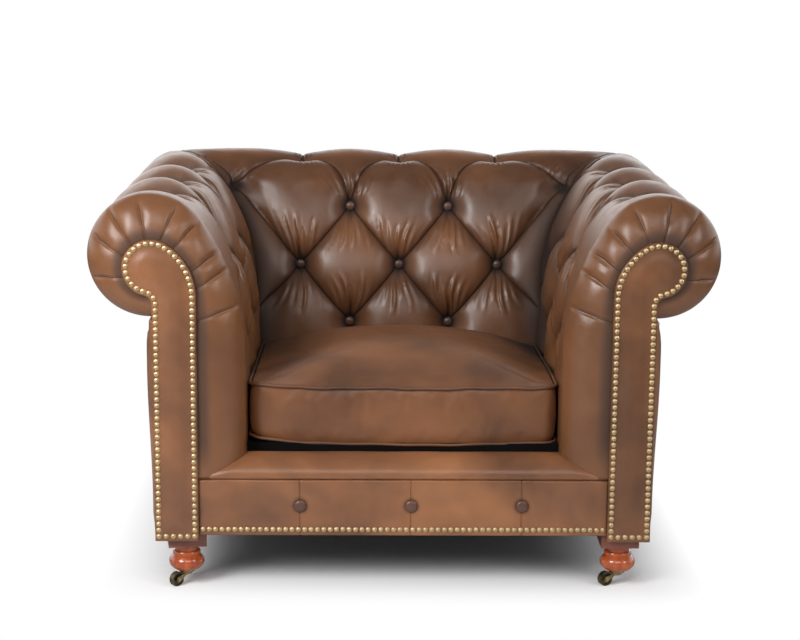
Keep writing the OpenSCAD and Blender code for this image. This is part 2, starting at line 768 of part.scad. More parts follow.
// The swivelling horn: an eye round the pin and a cheek on each side of the wheel.
module castor_horn(i) {
  web_x = trail - wheel_r - 3.5;
  color("darkgoldenrod") at_castor(i) difference() {
    union() {
      translate([0, 0, eye_z]) cylinder(h = eye_t, r = eye_r);
      translate([3, -cheek_y - cheek_t, eye_z]) cube([web_x - 3, 2 * (cheek_y + cheek_t), eye_t]);
      for (side = [-1, 1]) translate([0, side > 0 ? cheek_y + cheek_t : -cheek_y, 0])
        rotate([90, 0, 0]) linear_extrude(cheek_t) {
          translate([trail, wheel_r]) circle(r = boss_r);
          polygon([[3, eye_z], [3, eye_z + eye_t], [web_x, eye_z + eye_t],
                   [trail, wheel_r + boss_r], [trail, wheel_r - boss_r], [web_x, eye_z]]);
        }
    }
    translate([0, 0, eye_z - past]) cylinder(h = eye_t + 2 * past, r = swivel_d / 2 + running);
    translate([trail, 0, wheel_r]) rotate([90, 0, 0])
      cylinder(h = 4 * cheek_y, r = axle_d / 2 + running, center = true);
  }
}

module castor_axle(i) {
  reach = cheek_y + cheek_t;
  color("gold") at_castor(i) translate([trail, 0, wheel_r]) rotate([90, 0, 0]) {
    cylinder(h = 2 * reach, d = axle_d, center = true);
    for (side = [-1, 1]) translate([0, 0, side * (reach + 0.6)])
      cylinder(h = 1.2, r = axle_d / 2 + 1, center = true);
  }
}

// A cast wheel, hollowed on both faces round its hub.
module castor_wheel(i) {
  rim = 2.4;
  hub_r = axle_d / 2 + 2;
  web_t = wheel_w * 0.3;
  color("goldenrod") at_castor(i) translate([trail, 0, wheel_r]) rotate([90, 0, 0]) difference() {
    cylinder(h = wheel_w, r = wheel_r, center = true);
    cylinder(h = wheel_w + past, r = axle_d / 2 + running * 2, center = true);
    for (side = [-1, 1]) translate([0, 0, side * (web_t / 2 + wheel_w / 2)]) difference() {
      cylinder(h = wheel_w, r = wheel_r - rim, center = true);
      cylinder(h = wheel_w + past, r = hub_r, center = true);
    }
  }
}

// ---------- nodes ----------

front_rail();
back_rail();
mirror([1, 0, 0]) side_rail();  // side_rail_left
side_rail();  // side_rail_right
corner_blocks();
mirror([1, 0, 0]) front_post();  // front_post_left
front_post();  // front_post_right
mirror([1, 0, 0]) back_post();  // back_post_left
back_post();  // back_post_right
scroll_boards();
arm_top_rails();
back_top_rail();
arm_stuffing_rails();
back_stuffing_rail();
seat_springs();
spring_clips();
back_webbing();
arm_webbing();
seat_deck();
dust_cover();
mirror([1, 0, 0]) arm_pad();  // arm_pad_left
arm_pad();  // arm_pad_right
back_pad();
mirror([1, 0, 0]) outside_arm();  // outside_arm_left
outside_arm();  // outside_arm_right
outside_back();
seat_border();
rail_cover();
rail_buttons();
mirror([1, 0, 0]) arm_facing();  // arm_facing_left
arm_facing();  // arm_facing_right
mirror([1, 0, 0]) facing_nails();  // facing_nails_left
facing_nails();  // facing_nails_right
rail_nails();
back_buttons();
mirror([1, 0, 0]) arm_buttons();  // arm_buttons_left
arm_buttons();  // arm_buttons_right
cushion_cover();
cushion_core();
cushion_piping();
foot_plinths();
foot(0);  // foot_front_left
foot(1);  // foot_front_right
foot(2);  // foot_back_left
foot(3);  // foot_back_right
foot_bolts();
castor_plates();
castor_horn(0);  // castor_horn_front_left
castor_horn(1);  // castor_horn_front_right
castor_horn(2);  // castor_horn_back_left
castor_horn(3);  // castor_horn_back_right
castor_axle(0);  // castor_axle_front_left
castor_axle(1);  // castor_axle_front_right
castor_axle(2);  // castor_axle_back_left
castor_axle(3);  // castor_axle_back_right
castor_wheel(0);  // castor_wheel_front_left
castor_wheel(1);  // castor_wheel_front_right
castor_wheel(2);  // castor_wheel_back_left
castor_wheel(3);  // castor_wheel_back_right
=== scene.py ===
"""Rolled-arm, deep-buttoned leather club chair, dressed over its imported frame.

Metres, +Z up, the front towards -Y. Left and right are those of somebody who faces the chair.
"""

import bpy
import numpy as np
from mathutils import Matrix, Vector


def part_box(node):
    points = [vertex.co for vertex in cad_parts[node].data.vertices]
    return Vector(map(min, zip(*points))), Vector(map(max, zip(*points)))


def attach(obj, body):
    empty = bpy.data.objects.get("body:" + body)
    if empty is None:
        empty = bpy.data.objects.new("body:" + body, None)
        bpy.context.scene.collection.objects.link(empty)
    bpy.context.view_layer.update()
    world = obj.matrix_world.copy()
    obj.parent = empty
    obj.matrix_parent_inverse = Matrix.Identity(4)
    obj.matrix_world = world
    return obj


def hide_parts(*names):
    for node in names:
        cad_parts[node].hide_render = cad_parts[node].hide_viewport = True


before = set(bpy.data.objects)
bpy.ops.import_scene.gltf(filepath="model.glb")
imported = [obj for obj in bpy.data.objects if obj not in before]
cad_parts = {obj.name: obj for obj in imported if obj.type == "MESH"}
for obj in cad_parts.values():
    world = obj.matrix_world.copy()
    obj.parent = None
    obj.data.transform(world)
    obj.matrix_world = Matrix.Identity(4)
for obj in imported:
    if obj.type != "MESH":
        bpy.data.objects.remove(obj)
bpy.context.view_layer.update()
scene = bpy.context.scene


# ---------- camera ----------
# The eye is 1.14 m up and 3.7 m off, a little to the left of the chair, and looks slightly down.
# A long lens keeps the arms nearly parallel.

EYE = (-0.06876, -3.735865, 1.14489)
LOOK_DOWN, LOOK_RIGHT, TILT = 0.194639, 0.018215, 0.0081411
SENSOR, LENS = 36, 86.27
camera_data = bpy.data.cameras.new("camera")
camera_data.sensor_width = SENSOR
camera_data.lens = LENS
camera = bpy.data.objects.new("camera", camera_data)
scene.collection.objects.link(camera)
camera.matrix_world = (
    Matrix.Translation(EYE)
    @ Matrix.Rotation(-LOOK_RIGHT, 4, "Z")
    @ Matrix.Rotation(np.pi / 2 - LOOK_DOWN, 4, "X")
    @ Matrix.Rotation(TILT, 4, "Z")
)
scene.camera = camera
scene.view_settings.view_transform = "Standard"


# ---------- studio ----------
# A pale sweep of floor that runs out into white, soft even light from all round, and four soft
# boxes: left, right, in front and overhead.


class Recipe:
    """The nodes of a material or world, put together one by one and joined to its output."""

    def __init__(self, owner):
        owner.use_nodes = True
        self.owner, self.tree = owner, owner.node_tree
        self.tree.nodes.clear()
        self.output = self.node("OutputWorld" if isinstance(owner, bpy.types.World) else "OutputMaterial")

    def node(self, kind, inputs=(), **settings):
        """A new node with its settings, and its sockets set or linked."""
        node = self.tree.nodes.new("ShaderNode" + kind)
        for key, value in settings.items():
            setattr(node, key, value)
        for key, value in dict(inputs).items():
            if isinstance(value, bpy.types.NodeSocket):
                self.tree.links.new(value, node.inputs[key])
            else:
                node.inputs[key].default_value = value
        return node

    def place(self):
        """The point on the piece, in the piece's own coordinates."""
        return self.node("TexCoord").outputs["Object"]

    def mark(self, name):
        """The value of one of the piece's attributes."""
        return self.node("Attribute", attribute_name=name).outputs["Fac"]

    def math(self, operation, *values, clamp=False):
        """One sum on numbers or sockets."""
        return self.node("Math", dict(enumerate(values)), operation=operation, use_clamp=clamp).outputs[0]

    def remap(self, value, low, high, to_low=0.0, to_high=1.0, easing="LINEAR"):
        """Carries low..high onto to_low..to_high and holds it there beyond them."""
        ends = {"Value": value, "From Min": low, "From Max": high, "To Min": to_low, "To Max": to_high}
        return self.node("MapRange", ends, interpolation_type=easing).outputs[0]

    def noise(self, place, scale, detail, rough=0.5, distortion=0.0):
        """A cloudy pattern from 0 to 1."""
        inputs = {"Vector": place, "Scale": scale, "Detail": detail, "Roughness": rough, "Distortion": distortion}
        return self.node("TexNoise", inputs).outputs["Fac"]

    def tint(self, amount, one, two):
        """One colour turned into another by an amount."""
        return self.node("Mix", {0: amount, 6: one, 7: two}, data_type="RGBA").outputs[2]

    def relief(self, height, strength, depth, under=None, **settings):
        """A bump of a pattern, on top of the bump under it."""
        inputs = {"Height": height, "Strength": strength, "Distance": depth}
        if under:
            inputs["Normal"] = under
        return self.node("Bump", inputs, **settings).outputs[0]

    def blend(self, amount, one, two):
        """Ends in one shader turned into another by an amount."""
        mix = self.node("MixShader", {0: amount, 1: one.outputs[0], 2: two.outputs[0]})
        self.tree.links.new(mix.outputs[0], self.output.inputs["Surface"])

    def finish(self, inputs):
        """Ends in one ordinary surface and returns the material."""
        skin = self.node("BsdfPrincipled", inputs)
        self.tree.links.new(skin.outputs[0], self.output.inputs["Surface"])
        return self.owner


def unit(vectors):
    """The same directions with a length of one."""
    return vectors / np.linalg.norm(vectors, axis=-1, keepdims=True)


def new_piece(name, points, polygons, material, smooth=True):
    """An object at the origin from points and polygons, with some or all of them shaded smooth."""
    mesh = bpy.data.meshes.new(name)
    mesh.from_pydata(np.reshape(points, (-1, 3)).tolist(), [], polygons)
    mesh.polygons.foreach_set("use_smooth", np.full(len(polygons), smooth))
    mesh.materials.append(material)
    mesh.update()
    piece = bpy.data.objects.new(name, mesh)
    scene.collection.objects.link(piece)
    return piece


# How bright the backdrop looks in the leather: dim behind the eye and full behind the chair, and
# brightest low down. Each holds two directions, and the brightness at either.
BEHIND_EYE = (-0.35, 0.3, 0.05, 1.0)
LOW_DOWN = (0.45, 0.62, 1.75, 0.12)
WHITE = (1, 1, 1, 1)
AMBIENT, AMBIENT_LIGHT = (0.95, 0.97, 1, 1), 0.32
world = bpy.data.worlds.new("studio")
scene.world = world
studio = Recipe(world)
compass = studio.node("SeparateXYZ", {0: studio.node("TexCoord").outputs["Generated"]}).outputs
behind = studio.remap(compass["Y"], *BEHIND_EYE, "SMOOTHSTEP")
low = studio.remap(compass["Z"], *LOW_DOWN, "SMOOTHSTEP")
rays = studio.node("LightPath").outputs
backdrop = studio.math("MAXIMUM", rays["Is Camera Ray"], studio.math("MULTIPLY", behind, low))
seen = studio.math("MAXIMUM", rays["Is Camera Ray"], rays["Is Glossy Ray"])
seen = studio.math("MAXIMUM", seen, rays["Is Transmission Ray"])
ambient = studio.node("Background", {"Color": AMBIENT, "Strength": AMBIENT_LIGHT})
white = studio.node("Background", {"Color": WHITE, "Strength": backdrop})
studio.blend(seen, ambient, white)

# The floor fades out to white a little way from the chair, for the camera only. In mirrors it is
# half lit near the chair and dim further off.
FLOOR_REACH = 9.0
FADE_FROM, FADE_WIDTH = (0.42, 0.4, 0), 0.13
PAPER_TONE, PAPER_MIRRORED = 0.93, (0.6, 1.5, 0.5, 0.12)
paper = bpy.data.materials.new("floor_paper")
sweep = Recipe(paper)
spread = sweep.node("VectorMath", {0: sweep.place()}, operation="ABSOLUTE").outputs[0]
past = sweep.node("VectorMath", {0: spread, 1: FADE_FROM}, operation="SUBTRACT").outputs[0]
past = sweep.node("VectorMath", {0: past, 1: (0, 0, 0)}, operation="MAXIMUM").outputs[0]
distance = sweep.node("VectorMath", {0: past}, operation="LENGTH").outputs["Value"]
rays = sweep.node("LightPath").outputs
fade = sweep.math("MULTIPLY", sweep.remap(distance, 0.0, FADE_WIDTH), rays["Is Camera Ray"])
mirrored = sweep.remap(distance, *PAPER_MIRRORED)
shade = sweep.remap(rays["Is Glossy Ray"], 0.0, 1.0, PAPER_TONE, mirrored)
matt = sweep.node("BsdfDiffuse", {"Color": shade})
glow = sweep.node("Emission", {"Color": WHITE, "Strength": 1.0})
sweep.blend(fade, matt, glow)
corners = np.array([(-1, -1, 0), (1, -1, 0), (1, 1, 0), (-1, 1, 0)]) * FLOOR_REACH
floor = new_piece("floor", corners, [(0, 1, 2, 3)], paper, smooth=False)


def soft_box(name, place, aim, size, watts):
    """A rectangular lamp at a place, turned to face another."""
    lamp_data = bpy.data.lights.new(name, "AREA")
    lamp_data.shape = "RECTANGLE"
    lamp_data.size, lamp_data.size_y = size
    lamp_data.energy = watts
    lamp = bpy.data.objects.new(name, lamp_data)
    scene.collection.objects.link(lamp)
    forward = unit(np.subtract(aim, place))
    side = unit(np.cross(forward, (0, 0, 1)))
    turned = np.eye(4)
    turned[:3] = np.stack([side, np.cross(side, forward), -forward, place], 1)
    lamp.matrix_world = Matrix(turned.tolist())
    return lamp


soft_box("left_box", (-1.6, -2.05, 1.75), (-0.1, -0.1, 0.4), (0.9, 1.5), 60)
soft_box("right_box", (2.2, -2.0, 1.8), (0.1, 0, 0.4), (0.7, 1.5), 21)
soft_box("front_box", (0.25, -3.0, 2.45), (0, 0, 0.4), (2.2, 1.0), 24)
overhead = soft_box("top_box", (0, 0.3, 2.9), (0, 0.02, 0.3), (2.6, 1.6), 14)
overhead.visible_glossy = False


# ---------- leather ----------
# Hand-antiqued hide, dark in the hollows and rubbed back to a warm tan on the proud parts, partly
# its own antiquing and partly painted shade, under a semi-gloss finish, with a fine pebbled grain.
# Painted shade also darkens the folds, the pits, the corners and other recesses.

TAN = (0.30, 0.120, 0.046, 1)
BROWN = (0.195, 0.079, 0.033, 1)
DARK = (0.105, 0.045, 0.023, 1)
# The near-black brown of the rail's seams and of the painted shade in folds, pits, corners and creases; where it is
# painted the finish is duller too.
SEAM_AND_SHADE = (0.010, 0.004, 0.002, 1)
PAD_TONES = ((0.205, 0.083, 0.033, 1), (0.128, 0.052, 0.022, 1), (0.058, 0.025, 0.013, 1))
CLOUD_SCALE, STREAK_SCALE, CREASE_SCALE = 5.5, 42, 260
CLOUD_SHARE, RUB_AND_SHADE_SHARE, STREAK_SHARE = 0.45, 0.62, 0.22
ALL_DARK, ALL_LIGHT = 0.05, 0.95
GRAIN_SIZE, GRAIN_DEEP = 0.0013, 0.0006
FOLD_THIN, FOLD_THICK, FOLD_DARK = 0.0015, 0.0085, 0.85
DIP_WIDE, DIP_DEEP = 0.017, 0.0022
LINE_STARTS, LINE_FULL, LINE_DEEP = 0.62, 0.9, 0.0016
GLOSSY, DULL, SEAM_AND_SHADE_DULLS = 0.29, 0.41, 0.6
LEATHER_IOR = 1.52


def leather(name, light=TAN, middle=BROWN, dark=DARK, rub_and_shade=None, lines=False, marks=False):
    """Mottled hide of three tones with a pebbled grain. The attribute it may be given for the worn
    tone is 0 in the hollows and 1 on the proud parts, and darkens in folds, corners and other
    shaded places partly as the hide's antiquing and partly as painted shade; lines draws the painted
    shadow of the folds where either lattice coordinate is whole; marks reads two attributes: dark,
    which paints shade in pits, corners and recesses, and line, which draws a seam on the rail and
    the painted shade of a pleat's crease on the arms, where it is near 1."""
    hide = Recipe(bpy.data.materials.new(name))
    place = hide.place()
    streaks = hide.noise(place, STREAK_SCALE, 3, 0.6)
    tone = hide.remap(hide.noise(place, CLOUD_SCALE, 3, 0.5, 0.3), 0.28, 0.72)
    if rub_and_shade:
        # The worn tone: partly the hide's antiquing, partly painted shade near folds and corners.
        tone = hide.math("MULTIPLY_ADD", hide.mark(rub_and_shade), RUB_AND_SHADE_SHARE, hide.math("MULTIPLY", tone, CLOUD_SHARE))
    mottle = hide.math("MULTIPLY_ADD", streaks, STREAK_SHARE, -STREAK_SHARE / 2)
    tone = hide.math("ADD", tone, mottle, clamp=True)
    ramp = hide.node("ValToRGB", {"Fac": tone})
    stops = ramp.color_ramp.elements
    stops[0].color, stops[0].position = dark, ALL_DARK
    stops[1].color, stops[1].position = light, ALL_LIGHT
    stops.new(0.5).color = middle
    colour, bump = ramp.outputs[0], None
    gloss = hide.remap(streaks, 0.3, 0.7, GLOSSY, DULL)
    if lines:
        pair = hide.node("SeparateXYZ", {0: hide.node("UVMap", uv_map="lattice").outputs[0]}).outputs
        near = hide.math("MINIMUM", hide.math("PINGPONG", pair[0], 0.5), hide.math("PINGPONG", pair[1], 0.5))
        folded = hide.mark("folded")
        # Painted shadow along the folds.
        shade = hide.remap(near, FOLD_THIN, FOLD_THICK, FOLD_DARK, 0.0, "SMOOTHSTEP")
        shade = hide.math("MULTIPLY", shade, folded)
        dip = hide.math("MULTIPLY", hide.remap(near, 0.0, DIP_WIDE, 1.0, 0.0, "SMOOTHERSTEP"), folded)
        colour = hide.tint(shade, colour, SEAM_AND_SHADE)
        gloss = hide.math("MULTIPLY_ADD", shade, SEAM_AND_SHADE_DULLS, gloss, clamp=True)
        bump = hide.relief(dip, 0.9, DIP_DEEP, invert=True)
    if marks:
        # dark is painted shade; line is a seam on the rail and the painted shade of a pleat's crease on the arms.
        line = hide.mark("line")
        seam = hide.remap(line, LINE_STARTS, LINE_FULL, easing="SMOOTHSTEP")
        shade = hide.math("MAXIMUM", hide.mark("dark"), seam, clamp=True)
        colour = hide.tint(shade, colour, SEAM_AND_SHADE)
        gloss = hide.math("MULTIPLY_ADD", shade, SEAM_AND_SHADE_DULLS, gloss, clamp=True)
        bump = hide.relief(hide.remap(line, 0.0, 1.0, 1.0, 0.0), 0.8, LINE_DEEP, bump)
    pebbles = hide.node("TexVoronoi", {"Vector": place, "Scale": 1 / GRAIN_SIZE, "Randomness": 1.0}, feature="F1")
    creases = hide.noise(place, CREASE_SCALE, 4, 0.7)
    grain = hide.math("MULTIPLY_ADD", pebbles.outputs["Distance"], -0.5, creases)
    bump = hide.relief(grain, 0.14, GRAIN_DEEP, bump)
    return hide.finish({"Base Color": colour, "Roughness": gloss, "Normal": bump, "IOR": LEATHER_IOR})


pad_leather = leather("pad_leather", *PAD_TONES, rub_and_shade="rub_and_shade", lines=True, marks=True)
# The arms take the pads' tones darkened, the right arm more than the left: painted shade, for the light that falls
# more weakly on the right arm.
arm_leathers = {}
for side, name, share in ((-1, "left_arm_leather", 0.92), (1, "right_arm_leather", 0.79)):
    tones = [tuple(share * part for part in tone[:3]) + (1,) for tone in PAD_TONES]
    arm_leathers[side] = leather(name, *tones, rub_and_shade="rub_and_shade", lines=True, marks=True)


# ---------- rolled arms and back ----------
# Thick stuffing under hide that is pulled in by buttons in diamonds on the inside, folded over the
# roll between them, and gathered in pleats round each scroll front. The three pads meet at mitres.

# The diamonds: how far apart the buttons of a row and the rows are, where the first tuck of an arm
# lies behind its front, and at how many degrees round the roll the tucks are.
PITCH, ROW = 0.205, 0.116
FIRST_TUCK, TOP_TUCK = 0.175, 102
# The padding: the roll's radius, the rounding of an arm's front edge, the back's lean, and how far
# below the roll's centre the arm's inner face starts to bend.
ROLL, FRONT_ROUND, LEAN, ARM_BEND = 0.110, 0.056, np.radians(27), 0.172
STEP = 36


def corners_of(node):
    """The lowest and the highest corner of a CAD node."""
    return np.array(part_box(node))


arm_low, arm_high = corners_of("arm_pad_right")
back_low = corners_of("back_pad")[0]
facing_low, facing_high = corners_of("arm_facing_right")
panel_x, panel_y = corners_of("outside_arm_right")[1][0], corners_of("outside_back")[1][1]
front_y, board_y = facing_low[1], facing_high[1]
pad_foot = arm_low[2]
roll_z = arm_high[2] - ROLL
roll_out = arm_high[0] - ROLL - panel_x
arm_thick = panel_x - arm_low[0]
back_thick = panel_y - back_low[1]
arm_bend_z = roll_z - ARM_BEND
run = roll_out + arm_thick
arm_radius = (run**2 + ARM_BEND**2 - ROLL**2) / (2 * (run - ROLL))
arm_meet_z = roll_z + ROLL * np.sin(np.arctan2(ARM_BEND, run - arm_radius))
lean_z = roll_z + ROLL * np.sin(LEAN)
lean_depth = roll_out - ROLL * np.cos(LEAN)


def roll_depth(z):
    """Depth of the inner half of the roll's circle at height z."""
    return roll_out - np.sqrt(np.maximum(ROLL**2 - (z - roll_z) ** 2, 0))


def arm_depth(z):
    """Inner face of an arm: the roll's circle, then one long arc that ends upright."""
    up = np.maximum(z - arm_bend_z, 0)
    arc = arm_radius - arm_thick - np.sqrt(arm_radius**2 - up**2)
    return np.where(z > arm_meet_z, roll_depth(z), arc)


def back_depth(z):
    """Inner face of the back: the roll's circle, then a lean that eases until it is upright."""
    easing = 2 * (lean_depth + back_thick) / np.tan(LEAN)
    below = np.clip(lean_z - z, 0, easing)
    lean = lean_depth - (below - below**2 / (2 * easing)) * np.tan(LEAN)
    return np.where(z > lean_z, roll_depth(z), lean)


# The rows run from the roll's underside, outside, up over the crest and down the inner face.
# level is 0 at the tucks on the crest and 1, 2 and 3 at the three rows of buttons.
roll_start = -90 - np.degrees(np.arcsin(roll_out / ROLL))
OUTER_ROWS, OVER_ROWS, FOOT_ROWS = 99, 16, 25
outer = np.linspace(roll_start, 90, OUTER_ROWS)
over = np.linspace(90, TOP_TUCK, OVER_ROWS)[1:-1]
upper = TOP_TUCK + (180 - TOP_TUCK) * np.arange(STEP) / STEP
lower = np.arange(2 * STEP + 1) / STEP
foot = np.linspace(0, 1, FOOT_ROWS)[1:]
button_foot = roll_z - 2 * ROW
round_angle = np.concatenate([outer, over, upper])
round_z = roll_z + ROLL * np.sin(np.radians(round_angle))
row_z = np.concatenate([round_z, roll_z - ROW * lower, button_foot + (pad_foot - button_foot) * foot])
level = np.concatenate([np.zeros(len(outer) + len(over)), np.arange(STEP) / STEP, 1 + lower, 3 + foot])
rows = len(row_z)
row = np.arange(rows)
is_outer = row < len(outer)
angle = np.concatenate([round_angle, np.full(rows - len(round_angle), 180.0)])
crest_row = len(outer) - 1
tuck_row = len(outer) + len(over)


def section(inner):
    """Depth of every row, the outward normal there, and the length along the rows from the tucks
    on the crest. The normal turns level from the tucks to the first row of buttons."""
    depth = np.where(is_outer, roll_out + ROLL * np.cos(np.radians(angle)), inner(row_z))
    points = np.stack([depth, row_z], 1)
    along = unit(np.gradient(points, axis=0))
    normal = np.stack([along[:, 1], -along[:, 0]], 1)
    pull = np.clip((level - 0.15) / 0.7, 0, 1)[:, None]
    normal = unit(normal * (1 - pull) + np.array([-1.0, 0]) * pull)
    length = np.concatenate([[0], np.cumsum(np.linalg.norm(np.diff(points, axis=0), axis=1))])
    return depth, normal, length - length[tuck_row]


arm_d, arm_n, arm_t = section(arm_depth)
back_d, back_n, back_t = section(back_depth)
mitre_normal = unit(np.stack([arm_n[:, 0], back_n[:, 0], arm_n[:, 1] + back_n[:, 1]], 1))


def fold_bend(v):
    """How far a slanting fold has run along its row at a level: nearly level at the crest tucks,
    steep at the first buttons, and straight below them."""
    return np.where(v <= 1, np.clip(v, 0, 1) ** 0.36, np.minimum(v, 3))


def line_distance(s, t, lines):
    """Distance from each point to the nearest of several open lines of points."""
    best = np.full(s.shape, 1.0)
    for line in lines:
        for (s0, t0), (s1, t1) in zip(line[:-1], line[1:]):
            ds, dt = s1 - s0, t1 - t0
            k = np.clip(((s - s0) * ds + (t - t0) * dt) / (ds * ds + dt * dt + 1e-12), 0, 1)
            best = np.minimum(best, np.hypot(s - s0 - k * ds, t - t0 - k * dt))
    return best


def hollow(distance, reach, power=2.0):
    """1 at a fold, falling to 0 at its reach, with the puffed shape of a pillow between folds."""
    return np.clip(1 - distance / reach, 0, 1) ** power


def crease(distance, reach):
    """1 in a crease between two full rolls, falling steeply at first to 0 at its reach, as the
    outline of a round roll does."""
    k = np.clip(1 - distance / reach, 0, 1)
    return 0.45 * k * k + 0.55 * (1 - np.sqrt(np.maximum(1 - k * k * 0.99, 0))) / 0.9


def swell(x, low, high):
    """A smooth step from 0 at low to 1 at high."""
    k = np.clip((x - low) / (high - low), 0, 1)
    return k * k * (3 - 2 * k)


FOLD_DEEP, FOLD_REACH = 0.0175, 0.078
ARM_ROLL_DEEP, BACK_ROLL_DEEP, ROLL_REACH = 0.031, 0.010, 0.1025
PIT_DEEP, PIT_REACH = 0.0195, 0.050
TUCK_DEEP, TUCK_REACH = 0.009, 0.036
CUT_DEEP, CUT_WIDE = 0.0028, 0.003
FOLDS_OVER_FADE = ((0.75, 0.08, 0.24), (0.25, 0.2, 0.33))
# How far the hollow under a button stays flat, and the painted shade round a button's pit and in the clefts beside
# it: where it starts, how far it reaches, and how dark it is.
PIT_FLAT, PIT_SHADE, PIT_SHADE_DARK, CLEFT_SHADE = 0.006, (0.009, 0.0105), 0.95, 0.65
# Ripples on either side of a tuck and of a button: which side, how far and wide they spread, and
# their height; and for both kinds how near they come and how far apart they are.
TUCK_RIPPLES = ((1, 0.062, 0.032, 0.0020), (-1, 0.05, 0.024, 0.0016))
PIT_RIPPLES = ((-1, 0.104, 0.031, 0.0050), (1, 0.095, 0.031, 0.0044))
TUCK_NEAR, PIT_NEAR = (0.004, 0.0125), (0.014, 0.0135)
CLEFT_HIGH, CLEFT_WIDE = 1.6, 0.0042


def pucker(ds, dt, rng, near, far, wide, pitch, high):
    """Ripples that run towards a button: soft ridges across it that close up as they near it, each
    of its own length, between near and far from it, with one sharp cleft in their middle. dt is
    positive on the side they lie on."""
    spread = ds / (0.4 + np.maximum(dt, 0) / 0.085)
    shift = rng.uniform(0, 1)
    number = spread / pitch + shift + 0.25 * np.sin(dt / 0.021 + rng.uniform(0, 6.28))
    wave = np.cos(2 * np.pi * number)
    wave = np.maximum(wave, 0) ** 1.4 - 0.6 * np.maximum(-wave, 0)
    each = np.sin(np.round(number) * 2.4 + rng.uniform(0, 6.28))
    reach = swell(dt, near, near + 0.02) * (1 - swell(dt, far * (0.62 + 0.1 * each), far * (1 + 0.12 * each)))
    window = swell(dt, 0.004, 0.012) * (1 - swell(dt, 0.02, far * 0.7))
    cleft = np.exp(-((spread - rng.uniform(-0.004, 0.004)) / CLEFT_WIDE) ** 2) * window
    ripple = CLEFT_HIGH * cleft - wave * reach * (0.8 + 0.25 * each)
    return high * ripple * np.exp(-((spread / wide) ** 2)), cleft


def quilting(s, t, columns, place, lengths, seed, inside, roll_deep):
    """How far the hide lies below the plain padding at each point, how near a fold is, and how
    dark the painted shade is in and round the pits of the buttons and in the clefts beside them.
    Two families of slanting folds cross at the buttons; one fold runs over the roll from each tuck,
    and one down from each button of the last row. place gives s for a lattice position and level,
    and lengths t for every row."""

    def length(v):
        return at_level(lengths, v)

    rng = np.random.default_rng(seed)
    fine = np.concatenate([np.linspace(0, 1, 17) ** 2, np.linspace(1, 3, 17)[1:]])
    families = []
    for sign in (1, -1):
        lines = []
        for whole in range(-4, 6):
            u = whole - sign * fold_bend(fine) / 2
            line = [(place(a, v), length(v)) for a, v in zip(u, fine) if inside(a, v)]
            if len(line) > 1:
                lines.append(line)
        families.append(line_distance(s, t, lines))
    up = [[(place(u, 0), length(0)), (place(u, 0), t.min())] for u in columns if inside(u, 0)]
    down = [[(place(u, 3), length(3)), (place(u, 3), t.max())] for u in columns + 0.5 if inside(u, 3)]
    up, down = line_distance(s, t, up), line_distance(s, t, down)
    fade = 1 - sum(share * swell(-t, near, far) for share, near, far in FOLDS_OVER_FADE)
    flat = (1 - crease(families[0], FOLD_REACH)) * (1 - crease(families[1], FOLD_REACH))
    flat = flat * (1 - 0.8 * crease(down, FOLD_REACH))
    sink = FOLD_DEEP * (1 - flat) + roll_deep * (crease(up, ROLL_REACH) * fade) * (1 - (1 - flat) * 0.75)
    nearest = np.minimum(np.minimum(families[0], families[1]), np.minimum(up + (1 - fade) * 0.02, down))
    sink = sink + CUT_DEEP * np.exp(-nearest / CUT_WIDE)
    spots = [(u, 0, TUCK_DEEP, TUCK_REACH) for u in columns if inside(u, 0)]
    for number, offset in ((1, 0.5), (2, 0.0), (3, 0.5)):
        spots += [(u + offset, number, PIT_DEEP, PIT_REACH) for u in columns if inside(u + offset, number)]
    keep, ripples, pits = 1.0, 0, np.zeros(s.shape)
    for u, number, deep, reach in spots:
        ds, dt = s - place(u, number), t - length(number)
        r = np.hypot(ds, dt * 0.85)
        keep = keep * (1 - deep / PIT_DEEP * hollow(np.maximum(r - PIT_FLAT, 0), reach, 2.4))
        near, pitch = PIT_NEAR if number else TUCK_NEAR
        for way, far, wide, high in PIT_RIPPLES if number else TUCK_RIPPLES:
            ridge, cleft = pucker(ds, way * dt, rng, near, far, wide, pitch, high)
            ripples = ripples + ridge
            # Painted shade in the cleft of each button's ripples.
            if number:
                pits = np.maximum(pits, CLEFT_SHADE * cleft**2)
        # Painted shade round each button's pit.
        if number:
            shade = np.exp(-((np.maximum(r - PIT_SHADE[0], 0) / PIT_SHADE[1]) ** 2))
            pits = np.maximum(pits, PIT_SHADE_DARK * shade)
    return sink + PIT_DEEP * (1 - keep) + ripples, nearest, pits


